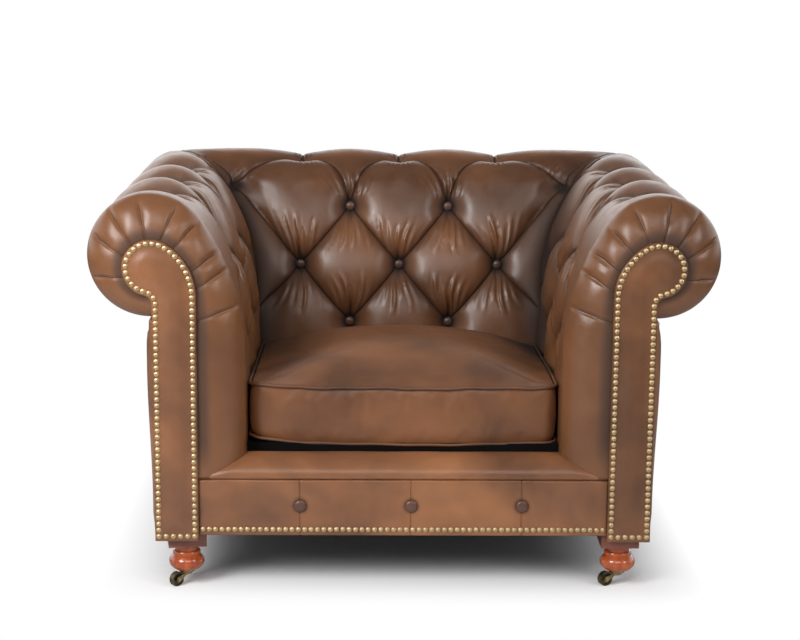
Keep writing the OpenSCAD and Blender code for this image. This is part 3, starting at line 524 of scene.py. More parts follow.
def shell(name, points, first, final, material, marks, lattice, flip):
    """A closed skin over a grid whose rows run round a section and whose columns run along it. Each
    row is cut off at its own first and last column, and the two open ends are closed flat. Each
    cell is split along the diagonal that stays nearer to a fold."""
    total, cols = points.shape[:2]
    index = np.clip(np.arange(cols)[None, :], first[:, None], final[:, None])
    index = index + np.arange(total)[:, None] * cols
    onward = np.roll(index, -1, axis=0)
    a, b, c, d = index[:, :-1], index[:, 1:], onward[:, 1:], onward[:, :-1]
    near = np.zeros((total, cols))
    near[: len(marks["rub_and_shade"])] = marks["rub_and_shade"]
    near = near.reshape(-1)
    swap = (near[a] + near[c] > near[b] + near[d])[..., None]
    one = np.where(swap, np.stack([a, b, d], -1), np.stack([a, b, c], -1))
    two = np.where(swap, np.stack([b, c, d], -1), np.stack([a, c, d], -1))
    faces = np.concatenate([one.reshape(-1, 3), two.reshape(-1, 3)])
    solid = (faces[:, 0] != faces[:, 1]) & (faces[:, 1] != faces[:, 2]) & (faces[:, 0] != faces[:, 2])
    faces = faces[solid]
    caps = [index[:, 0], index[::-1, -1]]
    if flip:
        faces, caps = faces[:, ::-1], [cap[::-1] for cap in caps]
    used = np.zeros(total * cols, bool)
    used[faces.reshape(-1)] = True
    renumber = np.cumsum(used) - 1
    polygons = renumber[faces].tolist() + [renumber[cap].tolist() for cap in caps]
    smooth = np.arange(len(polygons)) < len(faces)
    piece = new_piece(name, points.reshape(-1, 3)[used], polygons, material, smooth)
    mesh = piece.data
    for key, grid in marks.items():
        values = np.zeros((total, cols), np.float32)
        values[: len(grid)] = grid
        mesh.attributes.new(key, "FLOAT", "POINT").data.foreach_set("value", values.reshape(-1)[used])
    uv = np.zeros((total, cols, 2), np.float32)
    uv[: len(lattice)] = lattice
    corner_of = np.empty(len(mesh.loops), np.int32)
    mesh.loops.foreach_get("vertex_index", corner_of)
    layer = mesh.uv_layers.new(name="lattice")
    layer.data.foreach_set("uv", uv.reshape(-1, 2)[used][corner_of].reshape(-1))
    return piece


# The paths that close a pad behind, round the room for the posts and top rails: depth and height,
# for the full section and for the front edge of an arm.
BACK_LOOP = np.array(
    [(-0.0675, pad_foot), (-0.0675, 0.6003), (0.0383, 0.6003), (0.0383, 0.5747), (0.001, 0.5747), (0.001, 0.498)]
)
FRONT_LOOP = np.array(
    [(-0.055, pad_foot), (-0.055, 0.565), (0.03, 0.575), (0.03, 0.57), (0.006, 0.565), (-0.004, 0.53)]
)


def arm_place(u, v):
    """Distance behind the origin's plane of a lattice column of an arm, the same at every level."""
    return front_y + FIRST_TUCK + PITCH * u


def at_level(values, v):
    """What a list of one value for each row gives at a level."""
    return np.interp(v, level[tuck_row:], values[tuck_row:])


CORNER_LIFT, CORNER_STRETCH = 0.31, 0.25


def corner_lift(v, amount):
    """Levels near a corner, where the first row's folds run up to a tuck above the buttons."""
    return v + CORNER_LIFT * amount * swell(v, 0.0, 0.8) * (1 - swell(v, 0.9, 2.0))


def back_place(u, v):
    """Distance from the middle of a lattice column of the back, stretched towards the corners
    between the crest and the second row of buttons."""
    stretch = 1 + CORNER_STRETCH * (1 - swell(v, 1, 2))
    return np.sign(u) * PITCH * (np.minimum(np.abs(u), 1) + np.maximum(np.abs(u) - 1, 0) * stretch)


SCROLL, SCROLL_OUT, SCROLL_DROP, SCROLL_BEND, NECK = 0.050, 0.001, 0.015, 0.051, 0.014
facing_wide = panel_x - facing_low[0]
scroll_z = roll_z - SCROLL_DROP
scroll_run = SCROLL_OUT + facing_wide
scroll_arc = (scroll_run**2 + SCROLL_BEND**2 - SCROLL**2) / (2 * (scroll_run - SCROLL))
scroll_meet = np.arctan2(SCROLL_BEND, scroll_run - scroll_arc)
scroll_meet_z = scroll_z + SCROLL * np.sin(scroll_meet)
neck_fall = np.sqrt((SCROLL + NECK) ** 2 - (NECK - SCROLL_OUT) ** 2)
neck_turn = np.degrees(np.arctan2(-neck_fall, NECK - SCROLL_OUT))


def facing_inner(z):
    """Depth of a facing's inner edge at height z: the scroll's circle, an arc, then upright."""
    circle = SCROLL_OUT - np.sqrt(np.maximum(SCROLL**2 - (z - scroll_z) ** 2, 0))
    up = np.maximum(z - scroll_z + SCROLL_BEND, 0)
    arc = scroll_arc - facing_wide - np.sqrt(np.maximum(scroll_arc**2 - up**2, 0))
    return np.where(z > scroll_meet_z, circle, arc)


# Rows of the front edge's inner outline: up the neck's hollow, round the scroll, down inside.
# Inside, a row ends lower at the facing than in the full section, most at the crest.
NECK_END = -70
EDGE_FALL, EDGE_FALL_FROM, CREST_FALL = 0.030, (0.38, 0.58), 0.045
turn = np.where(angle < 0, angle * neck_turn / NECK_END, angle)
edge_d = SCROLL_OUT + SCROLL * np.cos(np.radians(turn))
edge_z = scroll_z + SCROLL * np.sin(np.radians(turn))
in_neck = is_outer & (angle < NECK_END)
neck_angle = np.radians(180 + neck_turn * (angle - roll_start) / (NECK_END - roll_start))
edge_d = np.where(in_neck, NECK + NECK * np.cos(neck_angle), edge_d)
edge_z = np.where(in_neck, scroll_z - neck_fall + NECK * np.sin(neck_angle), edge_z)
drop = EDGE_FALL * swell(row_z, *EDGE_FALL_FROM) + CREST_FALL * (np.maximum(row_z - roll_z, 0) / ROLL) ** 2
edge_z = np.where(is_outer, edge_z, row_z - drop)
edge_d = np.where(is_outer, edge_d, facing_inner(edge_z))

# What the three pads share: ends that keep to the section, a sewn mitre at each corner, hide
# worn light on the proud parts and darker towards the folds and mitres, partly its antiquing and
# partly painted shade, painted shade in the pits and along the mitres, and folds that are drawn
# between the two ends.
START_ROWS, END_ROWS = 14, 10
CORNER_DEEP, CORNER_DEEPER, CORNER_REACH = 0.0065, 0.006, 0.06
# How far the quilting fades into a corner and the normals turn to it; then the painted shade of the corner's
# recess: how dark and wide along the mitre, and how far from it the tone stays darker.
MITRE_REACH, MITRE_BLEND, MITRE_SHADE, MITRE_SHADE_REACH = 0.05, 0.03, (0.6, 0.024), 0.09
# How far from a fold the tone stays darker, as antiquing and as painted shade.
RUB_AND_SHADE_REACH, RUB_AND_SHADE_REACH_OVER, RUB_AND_SHADE_POWER = 0.03, 0.045, 0.7
PAST_CORNER, LAST_FOLD, FOLD_SHORT, FOLDS_FADE = 0.012, 3.9, 0.004, (-70, -20)
corner_arm, corner_back = panel_y + back_d, panel_x + arm_d
ends = np.minimum(swell(row, 0, START_ROWS), swell(rows - 1 - row, 0, END_ROWS))[:, None]
corner_deep = CORNER_DEEP + CORNER_DEEPER * swell(level, -0.1, 0.4)[:, None]


def sewn_corner(sink, mitre):
    """The sink with a corner seam: the quilting fades into one hollow and a cut along the mitre."""
    corner = corner_deep * hollow(mitre, CORNER_REACH) + CUT_DEEP * np.exp(-mitre / CUT_WIDE)
    return sink * (1 - hollow(mitre, MITRE_REACH)) + corner


def turned_to_corner(plain, cornered, mitre):
    """The pad's own normals, turned to the mitre's near it."""
    blend = np.exp(-((mitre / MITRE_BLEND) ** 2))[..., None]
    return unit(plain * (1 - blend) + cornered * blend)


def wear_and_shade(near, pits, mitre, t):
    """How light the hide is at each distance from a fold and from a mitre, partly the hide's
    antiquing and partly painted shade, and the painted shade of the pits with the painted shade
    along the mitre added.
    """
    rub_and_shade = np.clip(near / (RUB_AND_SHADE_REACH + RUB_AND_SHADE_REACH_OVER * swell(-t, 0, 0.03)), 0, 1) ** RUB_AND_SHADE_POWER
    # Painted shade: the tone darkens towards the mitre's corner.
    rub_and_shade = rub_and_shade * (0.1 + 0.9 * np.clip(mitre / MITRE_SHADE_REACH, 0, 1))
    # Painted shade along the mitre, in the corner's recess.
    dark, wide = MITRE_SHADE
    return rub_and_shade, np.maximum(pits, dark * np.exp(-((mitre / wide) ** 2)) * swell(t, 0.02, 0.12))


def drawn_folds(where, mitre):
    """Where fold lines show: on the inner face and over the roll, short of the ends and mitres."""
    folded = where.astype(float) * ends * (mitre > FOLD_SHORT)
    return folded * np.where(is_outer, swell(angle, *FOLDS_FADE), 1)[:, None]


def lattice_of(u, v):
    """The two coordinates that are whole along the two families of slanting folds."""
    return np.stack([u + fold_bend(v) / 2, u - fold_bend(v) / 2], -1)


# The arms' columns run back from the facing, round the front edge, to the mitre. The front edge
# swings from the facing's outline out to the full section over a quarter turn.
round_part = np.radians(np.linspace(0, 90, 26))
first_u = (board_y + FRONT_ROUND - front_y - FIRST_TUCK) / PITCH
last_u = (corner_arm.max() - arm_place(0, 0)) / PITCH
straight_u = np.arange(np.ceil(first_u * 2 * STEP + 0.4), np.ceil(last_u * 2 * STEP) + 1) / (2 * STEP)
PLEAT_TURNS = (-18, 20, 51, 82, 121, 147)
PLEAT_HEIGHTS = (0.612, 0.575, 0.519)
# The pleats' groove, and how dark the painted shade along each crease is.
PLEAT_DEEP, PLEAT_WIDE, PLEAT_CUT, PLEAT_SHADE = 0.0052, 0.03, 0.0014, 0.86
PLEAT_FADE = (0.022, 0.062)
FRONT_DROP = 0.0070
QUILT_STARTS, QUILT_FULL = 0.012, 0.05
# How dark the painted shade is on the right arm's inner face near the back, and how dark and wide it is along the
# facing's edge; then how far from the mitre and below the crest the first reaches.
REAR_SHADE, EDGE_SHADE, EDGE_SHADE_WIDE = 0.86, 0.6, 0.003
REAR_SHADE_REACH, REAR_SHADE_BELOW = (0.03, 0.28), (0.05, 0.16)


def pleats(from_edge, rng):
    """Gathers round a scroll front: a soft groove from the edge inwards at each mark, and a line of
    painted shade along its crease. Each has its own place and length."""
    along = np.concatenate([[0], np.cumsum(np.hypot(np.diff(arm_d), np.diff(row_z)))])
    turned = len(round_angle)
    at = [np.interp(mark + rng.uniform(-2, 2), angle[:turned], np.arange(turned)) for mark in PLEAT_TURNS]
    for z in PLEAT_HEIGHTS:
        at.append(np.interp(-z + rng.uniform(-0.004, 0.004), -row_z[crest_row:], np.arange(crest_row, rows)))
    line, groove = np.zeros(from_edge.shape), np.zeros(from_edge.shape)
    soft = 1 - swell(from_edge, 0.004, 0.05)
    for mark in np.sort(np.round(at)):
        away = np.abs(along - along[int(mark)])[:, None]
        reach = rng.uniform(0.8, 1.15)
        fade = 1 - swell(from_edge, PLEAT_FADE[0] * reach, PLEAT_FADE[1] * reach)
        # Painted shade along the crease.
        line = np.maximum(line, PLEAT_SHADE * np.clip(1 - np.abs(row - mark)[:, None] * 0.5, 0, 1) * fade)
        cut = PLEAT_CUT * np.exp(-away / 0.004) * fade
        groove = np.maximum(groove, soft * (PLEAT_DEEP * crease(away, PLEAT_WIDE) + cut))
    return line, groove * (0.35 + 0.65 * swell(from_edge, 0, 0.01))


def build_arm(side, seed):
    """The pad of one arm. side is 1 for the right arm and -1 for the left, its mirror."""
    rng = np.random.default_rng(seed)
    full_y = arm_place(straight_u, 0)
    y = np.concatenate([board_y + FRONT_ROUND * (1 - np.cos(round_part)), full_y])
    cols = len(y)
    grow = np.concatenate([np.sin(round_part), np.ones(len(full_y))])
    depth = edge_d[:, None] + (arm_d - edge_d)[:, None] * grow
    height = edge_z[:, None] + (row_z - edge_z)[:, None] * grow
    step = PITCH / (2 * STEP)

    def last_column(end):
        columns = len(round_part) + np.ceil((end - full_y[0]) / step - 0.3).astype(int)
        return np.clip(columns, 0, cols - 1)

    final = last_column(corner_arm)
    fore_aft = np.broadcast_to(y, (rows, cols)).copy()
    fore_aft[row, final] = corner_arm
    s = np.minimum(fore_aft, corner_arm[:, None])
    u = (s - arm_place(0, 0)) / PITCH
    v = corner_lift(np.broadcast_to(level[:, None], s.shape), swell(u, 1.6, 2.5))
    t = np.where(v > 0, at_level(arm_t, v), arm_t[:, None])

    def inside(a, b):
        return a >= -1e-6 and arm_place(a, b) < at_level(corner_arm, b) + PAST_CORNER

    sink, near, pits = quilting(s, t, np.arange(0, 4), arm_place, arm_t, seed, inside, ARM_ROLL_DEEP)
    mitre = np.maximum(corner_arm[:, None] - s, 0)
    from_edge = s - board_y
    sink = sewn_corner(sink, mitre) * swell(from_edge, QUILT_STARTS, FRONT_ROUND + QUILT_FULL) * ends
    pleat_shade, groove = pleats(from_edge, rng)
    sink = sink + groove

    plain = np.zeros(s.shape + (3,))
    plain[..., 0], plain[..., 2] = arm_n[:, 0:1], arm_n[:, 1:2]
    tilt = np.concatenate([np.pi / 2 - round_part, np.zeros(len(full_y))])[:, None]
    plain = plain * np.cos(tilt) + np.array([0, -1, 0]) * np.sin(tilt)
    normal = turned_to_corner(plain, mitre_normal[:, None, :], mitre)
    height = height - FRONT_DROP * swell(-height, -pad_foot - 0.06, -pad_foot) * swell(-s, 0.36, 0.39)
    points = np.stack([panel_x + depth, s, height], -1) - normal * sink[..., None]
    points[..., 0] *= side

    loop = FRONT_LOOP[:, None, :] + (BACK_LOOP - FRONT_LOOP)[:, None, :] * grow[None, :, None]
    loop_end = panel_y + BACK_LOOP[:, 0]
    loop_final = last_column(loop_end)
    closing = np.stack([(panel_x + loop[..., 0]) * side, np.broadcast_to(y, loop.shape[:2]), loop[..., 1]], -1)
    closing[np.arange(len(loop)), loop_final, 1] = loop_end

    rub_and_shade, pits = wear_and_shade(near, pits, mitre, t)
    # Painted shade along the edge where the pad meets the facing.
    pits = np.maximum(pits, EDGE_SHADE * (1 - swell(from_edge, 0.0, EDGE_SHADE_WIDE)))
    # Painted shade on the right arm's inner face near the back, where the corner lies in shade.
    if side > 0:
        rear = (1 - swell(mitre, *REAR_SHADE_REACH)) * swell(t, *REAR_SHADE_BELOW)
        pits = np.maximum(pits, REAR_SHADE * rear)
    folded = drawn_folds((u > -0.004) & (v > -0.01) & (v < LAST_FOLD), mitre)
    seen = {"rub_and_shade": rub_and_shade, "folded": folded, "dark": pits * ends, "line": pleat_shade}
    skin = np.concatenate([points, closing])
    final = np.concatenate([final, loop_final])
    name = "arm_pad_right" if side > 0 else "arm_pad_left"
    pad = shell(name + "_leather", skin, final * 0, final, arm_leathers[side], seen, lattice_of(u, v), side < 0)
    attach(pad, "frame")
    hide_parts(name)


build_arm(1, 11)
build_arm(-1, 12)


BACK_COLUMNS = 3.0
# How much painted shade darkens the top lobes under the crest and the lower rows of the back.
UPPER_SHADE, LOWER_SHADE = 0.85, 0.3


def build_back(seed):
    """The pad of the back, between the two mitres."""
    most = int(np.ceil(2 * STEP * BACK_COLUMNS))
    u = np.broadcast_to(np.arange(-most, most + 1) / (2 * STEP), (rows, 2 * most + 1))
    plain_v = np.broadcast_to(level[:, None], u.shape)
    v = corner_lift(plain_v, swell(np.abs(u), 0.75, 1.5))
    s = back_place(u, plain_v)
    ends_at = corner_back[:, None]
    keep = np.abs(s) < ends_at - 0.3 * PITCH / (2 * STEP)
    final = most + keep[:, most:].sum(1)
    s[row, final], s[row, 2 * most - final] = corner_back, -corner_back
    s = np.clip(s, -ends_at, ends_at)
    t = np.where(v > 0, at_level(back_t, v), back_t[:, None])

    def inside(a, b):
        return abs(back_place(a, b)) < at_level(corner_back, b) + PAST_CORNER

    sink, near, pits = quilting(s, t, np.arange(-3, 4), back_place, back_t, seed, inside, BACK_ROLL_DEEP)
    mitre = np.maximum(ends_at - np.abs(s), 0)
    sink = sewn_corner(sink, mitre) * ends
    plain = np.zeros(s.shape + (3,))
    plain[..., 1:] = back_n[:, None, :]
    cornered = np.broadcast_to(mitre_normal[:, None, :], plain.shape).copy()
    cornered[..., 0] *= np.sign(s)
    normal = turned_to_corner(plain, cornered, mitre)
    depth = np.broadcast_to(corner_arm[:, None], s.shape)
    height = np.broadcast_to(row_z[:, None], s.shape)
    points = np.stack([s, depth, height], -1) - normal * sink[..., None]

    loop_end = panel_x + BACK_LOOP[:, 0]
    loop = np.arange(len(loop_end))
    plain_s = back_place(u[0], 3.0)
    loop_keep = np.abs(plain_s)[None, :] < loop_end[:, None] - 0.001
    loop_final = most + loop_keep[:, most:].sum(1)
    loop_s = np.broadcast_to(plain_s, loop_keep.shape).copy()
    loop_s[loop, loop_final], loop_s[loop, 2 * most - loop_final] = loop_end, -loop_end
    closing = np.zeros(loop_s.shape + (3,))
    closing[..., 0], closing[..., 1], closing[..., 2] = loop_s, panel_y + BACK_LOOP[:, 0:1], BACK_LOOP[:, 1:2]

    rub_and_shade, pits = wear_and_shade(near, pits, mitre, t)
    # Painted shade: the top lobes under the crest and the lower rows of the back are darkened.
    upper = swell(t, -0.01, 0.03) * (1 - swell(v, 0.9, 1.5))
    rub_and_shade = rub_and_shade * (1 - UPPER_SHADE * upper - LOWER_SHADE * swell(v, 1.7, 2.6))
    seen = {"rub_and_shade": rub_and_shade, "folded": drawn_folds(v < LAST_FOLD, mitre), "dark": pits * ends, "line": np.zeros(s.shape)}
    skin = np.concatenate([points, closing])
    final = np.concatenate([final, loop_final])
    pad = shell("back_pad_leather", skin, 2 * most - final, final, pad_leather, seen, lattice_of(u, v), True)
    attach(pad, "frame")
    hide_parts("back_pad")


build_back(13)


# ---------- arm facings ----------
# A shaped board covered in hide on the front of each arm. The hide is a little padded, turned round
# the board's edge, and held by the row of nails.

FACING_EDGE = 0.0035
FACING_PUFF, PUFF_RISES = 0.0045, (0.012, 0.034)
# The right facing takes the pads' darker tones: painted shade for the light that falls more weakly on the right.
facing_leathers = {-1: leather("facing_leather_left"), 1: leather("facing_leather_right", *PAD_TONES)}


def arc(depth, height, radius, degrees):
    """Points round a centre: depths and heights."""
    a = np.radians(degrees)
    return np.stack([depth + radius * np.cos(a), height + radius * np.sin(a)], 1)


def facing_outline(g, low):
    """The outline of a facing shrunk by g: up the outer edge, round the neck's hollow and the
    scroll, down the long inner arc, and back along the bottom. Depths and heights."""
    meet = np.degrees(scroll_meet)
    neck = arc(NECK, scroll_z - neck_fall, NECK + g, np.linspace(180, 180 + neck_turn, 9))
    scroll = arc(SCROLL_OUT, scroll_z, SCROLL - g, np.linspace(neck_turn, meet, 40)[1:])
    centre = scroll_arc - facing_wide
    inner = arc(centre, scroll_z - SCROLL_BEND, scroll_arc - g, np.linspace(meet, 180, 12)[1:])
    part = np.linspace(0, 1, 40)[:, None]
    foot_out, foot_in = np.array([-g, low + g]), np.array([g - facing_wide, low + g])
    climb = foot_out + (neck[0] - foot_out) * part[:-1]
    fall = inner[-1] + (foot_in - inner[-1]) * part[1:]
    across = foot_in + (foot_out - foot_in) * np.linspace(0, 1, 8)[1:-1, None]
    return np.concatenate([climb, neck, scroll, inner, fall, across])


def bands(index):
    """Quads between neighbouring rings of point numbers, each ring closed on itself."""
    onward = np.roll(index, -1, axis=1)
    return np.stack([index[:-1], onward[:-1], onward[1:], index[1:]], -1).reshape(-1, 4)


def ring_piece(name, solids, material, flip=False):
    """One or several closed solids, each a skin through rings of points with equal counts and a
    flat end on its first and last ring."""
    solids = solids.reshape(-1, *solids.shape[-3:])
    rings, count = solids.shape[1:3]
    index = np.arange(rings * count).reshape(rings, count)
    quads, caps = bands(index), np.stack([index[0, ::-1], index[-1]])
    if flip:
        quads, caps = quads[:, ::-1], caps[:, ::-1]
    polygons = []
    for start in np.arange(len(solids)) * rings * count:
        polygons += (quads + start).tolist() + (caps + start).tolist()
    return new_piece(name, solids, polygons, material)


for side, name in ((1, "arm_facing_right"), (-1, "arm_facing_left")):
    steps = [(0, board_y)]
    for a in np.radians(np.linspace(0, 90, 6)):
        steps.append((FACING_EDGE * (1 - np.cos(a)), front_y + FACING_EDGE * (1 - np.sin(a))))
    for g in np.linspace(0.008, 0.036, 9):
        steps.append((g, front_y - FACING_PUFF * swell(g, *PUFF_RISES)))
    rings = []
    for g, y in steps:
        outline = facing_outline(g, facing_low[2])
        rings.append(np.stack([(panel_x + outline[:, 0]) * side, np.full(len(outline), y), outline[:, 1]], 1))
    facing = ring_piece(name + "_leather", np.array(rings), facing_leathers[side], flip=side < 0)
    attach(facing, "frame")
    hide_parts(name)


# ---------- front rail ----------
# One strip of hide over the front rail, sewn from four lengths with a flat seam at each button, drawn
# in by the buttons and held at its foot by the nails.

RAIL_HANG, RAIL_EDGE = 0.003, 0.004
SEAM_SINK, SEAM_WIDE, SEAM_DARK = 0.0012, 0.0016, 0.69
BUTTON_SINK, BUTTON_REACH, BUTTON_DARK, SLACK = 0.0035, 0.028, 0.5, 0.0016
FRONT_STEPS, RAIL_STEPS, BESIDE_SEAM = 34, 241, 0.006
rail_low, rail_high = corners_of("rail_cover")
rail_low[2] -= RAIL_HANG
button_low, button_high = corners_of("rail_buttons")
rail_button_r = (button_high[2] - button_low[2]) / 2
rail_button_z = (button_high[2] + button_low[2]) / 2
rail_button_x = np.linspace(button_low[0] + rail_button_r, button_high[0] - rail_button_r, 3)
rail_leather = leather("rail_leather", marks=True)


def give_marks(piece, dark, line):
    """Stores the painted shade and the seams of a piece for its leather."""
    for key, values in (("dark", dark), ("line", line)):
        attribute = piece.data.attributes.new(key, "FLOAT", "POINT")
        attribute.data.foreach_set("value", np.ascontiguousarray(values, np.float32).ravel())


near_seams = [x + np.linspace(-BESIDE_SEAM, BESIDE_SEAM, 13) for x in rail_button_x]
rail_x = np.unique(np.concatenate([np.linspace(rail_low[0], rail_high[0], RAIL_STEPS)] + near_seams))
quarter = np.linspace(0, 90, 5)
rail_front = np.linspace(rail_low[2] + RAIL_EDGE, rail_high[2] - RAIL_EDGE, FRONT_STEPS)[1:-1]
profile = np.concatenate([
    [(rail_high[1], rail_high[2]), (rail_high[1], rail_low[2])],
    arc(rail_low[1] + RAIL_EDGE, rail_low[2] + RAIL_EDGE, RAIL_EDGE, 270 - quarter),
    np.stack([np.full(FRONT_STEPS - 2, rail_low[1]), rail_front], 1),
    arc(rail_low[1] + RAIL_EDGE, rail_high[2] - RAIL_EDGE, RAIL_EDGE, 180 - quarter),
])
x, z = rail_x[:, None], profile[None, :, 1]
seam = np.abs(x - rail_button_x).min(1)[:, None]
button = np.min([np.hypot(x - centre, z - rail_button_z) for centre in rail_button_x], axis=0)
sink = SEAM_SINK * np.exp(-seam / SEAM_WIDE) + BUTTON_SINK * hollow(np.maximum(button - 0.006, 0), BUTTON_REACH)
sink = sink + SLACK * np.sin(x * 41 + 1.3 * np.sin(x * 17)) * swell(z, rail_low[2] + 0.05, rail_high[2])
on_front = (profile[None, :, 0] < rail_high[1] - 0.002).astype(float)
rings = np.zeros((len(rail_x), len(profile), 3))
rings[..., 0], rings[..., 2] = x, z
rings[..., 1] = profile[None, :, 0] + (sink + 0.0006) * on_front
rail = ring_piece("front_rail_leather", rings, rail_leather, flip=True)
# Painted shadow in a thin ring round each button, where it stands on the hide.
button_shadow = BUTTON_DARK * np.exp(-((np.maximum(button - 0.011, 0) / 0.004) ** 2))
sewn = SEAM_DARK * np.clip(1.8 - seam / 0.00125, 0, 1) * np.ones(z.shape)
give_marks(rail, button_shadow * on_front, sewn * on_front)
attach(rail, "frame")
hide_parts("rail_cover")


# ---------- seat border ----------
# The padded lip in front of the cushion: hide over stuffing, rolled over the front edge and sewn to
# the arms along a slanting mitre at each end.

LIP_SUNK, LIP_EDGE, LIP_FALL = 0.019, 0.006, 0.006
LIP_PINCH, PINCH_REACH, LIP_WAVE, LIP_STEPS = 0.002, 0.03, 0.0011, 181
border_leather = leather("border_leather")
border_low, border_high = corners_of("seat_border")
lip_top, lip_back = border_high[2] - LIP_SUNK, border_high[1]
lip_rise = lip_top - rail_high[2]
lip_low = rail_high[2] + 0.0003
over = np.radians(np.linspace(0, 90, 26))
part = np.linspace(0, 1, 6)[1:]
lip = np.concatenate([
    [(lip_back, border_low[2]), (board_y + 0.02, border_low[2]), (board_y + 0.02, lip_low)],
    arc(board_y + LIP_EDGE, lip_low + LIP_EDGE, -LIP_EDGE, np.linspace(80, 0, 8)[:-1]),
    np.stack([
        board_y + FRONT_ROUND * (1 - np.cos(over)),
        lip_low + LIP_EDGE + (lip_rise - LIP_EDGE) * np.sin(over),
    ], 1),
    np.stack([board_y + FRONT_ROUND + (lip_back - board_y - FRONT_ROUND) * part, lip_top - LIP_FALL * part], 1),
])
along = np.linspace(-1, 1, LIP_STEPS)
along = (np.sign(along) * (1 - (1 - np.abs(along)) ** 1.15))[:, None]
front_x = panel_x - facing_wide
reach = front_x - np.clip((lip[:, 1] - rail_high[2]) / lip_rise, 0, 1) * (front_x - arm_low[0])
rings = np.zeros((len(along), len(lip), 3))
rings[..., 0] = along * (reach - 0.0008)
rings[..., 1:] = lip
pinch = LIP_PINCH * hollow((1 - np.abs(along)) * reach, PINCH_REACH)
waves = LIP_WAVE * np.sin(rings[..., 0] * 33 + 2 * np.sin(rings[..., 0] * 11)) * swell(lip[:, 1], 0.19, 0.25)
front_part = np.arange(len(lip)) > 2
rings[..., 1] += (pinch + waves) * front_part
rings[..., 2] -= pinch * front_part * 0.6
border = ring_piece("seat_border_leather", rings, border_leather)
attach(border, "frame")
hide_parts("seat_border")


# ---------- outside panels ----------
# Plain hide stretched over boards on the outside of the arms and the back, a little padded, with
# its edges turned under and blind-sewn below the rolls.

PANEL_EDGE, PANEL_PUFF, PANEL_SIDES = 0.004, 0.0115, (40, 22, 40, 22)
outside_leather = leather("outside_leather")
panel_steps = [(0, 0.0)] + [(PANEL_EDGE * (1 - np.cos(a)), np.sin(a)) for a in np.radians((30, 60, 90))]
panel_steps += [(g, 1 + 0.5 * swell(g, 0, 0.09)) for g in np.linspace(0.012, 0.185, 14)]


def arm_puff(forward, height, top):
    """The fullness of an arm's panel: behind the facing, most at half height, less at the ends."""
    upper = swell(height, 0, 0.04) * (1 - 0.35 * swell(height, top - 0.05, top))
    return swell(forward, 0.0, 0.024) * (1 - swell(forward, 0.06, 0.3)) * upper


for name, axis, outward in (("outside_arm_left", 0, -1), ("outside_arm_right", 0, 1), ("outside_back", 1, 1)):
    low, high = corners_of(name)
    across = 1 - axis
    if axis == 0:
        low[1] = board_y + 0.0006
    thick = high[axis] - low[axis] + 0.0009
    rings = []
    for inset, out in panel_steps:
        (w0, w1), (t0, t1) = (low[across] + inset, high[across] - inset), (low[2] + inset, high[2] - inset)
        corner = np.array([(w0, t0), (w1, t0), (w1, t1), (w0, t1), (w0, t0)])
        sides = zip(corner[:-1], corner[1:], PANEL_SIDES)
        ring = np.concatenate([start + (end - start) * (np.arange(n) / n)[:, None] for start, end, n in sides])
        if axis == 0:
            fullness = arm_puff(ring[:, 0] - low[1], ring[:, 1] - low[2], high[2] - low[2])
            out = out + PANEL_PUFF / thick * fullness * (0.42 + 0.58 * swell(ring[:, 1], 0.16, 0.40))
        place = np.zeros((len(ring), 3))
        place[:, across], place[:, 2] = ring[:, 0], ring[:, 1]
        place[:, axis] = (low[axis] if outward > 0 else high[axis]) + outward * thick * out
        rings.append(place)
    panel = ring_piece(name + "_leather", np.array(rings), outside_leather, flip=(outward > 0) != (axis == 0))
    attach(panel, "frame")
    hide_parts(name)


# ---------- buttons ----------
# Domed metal buttons covered in dark hide, pulled down into the padding by twine. Those of the rail
# are larger and stand on the hide.

BUTTON_R, BUTTON_T, BUTTON_SUNK, BUTTON_SIDES = 0.0095, 0.008, 0.034, 28
RAIL_BUTTON_SUNK, RAIL_BUTTON_SIDES = 0.003, 36
BUTTON_TONES = ((0.12, 0.055, 0.034, 1), (0.085, 0.042, 0.028, 1), (0.05, 0.026, 0.019, 1))
RAIL_BUTTON_TONES = ((0.12, 0.052, 0.034, 1), (0.085, 0.038, 0.026, 1), (0.05, 0.024, 0.017, 1))
button_leather = leather("button_leather", *BUTTON_TONES)
rail_button_leather = leather("rail_button_leather", *RAIL_BUTTON_TONES)


def turned(centres, direction, profile, sides):
    """Rings of one turned shape at several places: profile holds radius and height along the
    direction that the shape faces."""
    axis = np.array(direction, float)
    first = unit(np.cross((0, 0, 1), axis))
    a = 2 * np.pi * np.arange(sides)[:, None] / sides
    circle = np.cos(a) * first + np.sin(a) * np.cross(axis, first)
    rings = profile[:, 0, None, None] * circle + profile[:, 1, None, None] * axis
    return np.array(centres)[:, None, None, :] + rings


def button_profile(radius, thick):
    """A covered button: a short drum with a low dome, drawn in a little at its foot."""
    a = np.radians(np.linspace(0, 84, 9))
    dome = np.stack([radius * np.cos(a), thick * (0.3 + 0.7 * np.sin(a))], 1)
    return np.concatenate([[(radius * 0.8, 0), (radius * 0.96, thick * 0.12)], dome])


def button_rows(odd, even):
    """Lattice column and height of every button: rows 1 and 3 hold the odd ones, row 2 the even."""
    return [(u, roll_z - ROW * (number - 1)) for number, us in ((1, odd), (2, even), (3, odd)) for u in us]


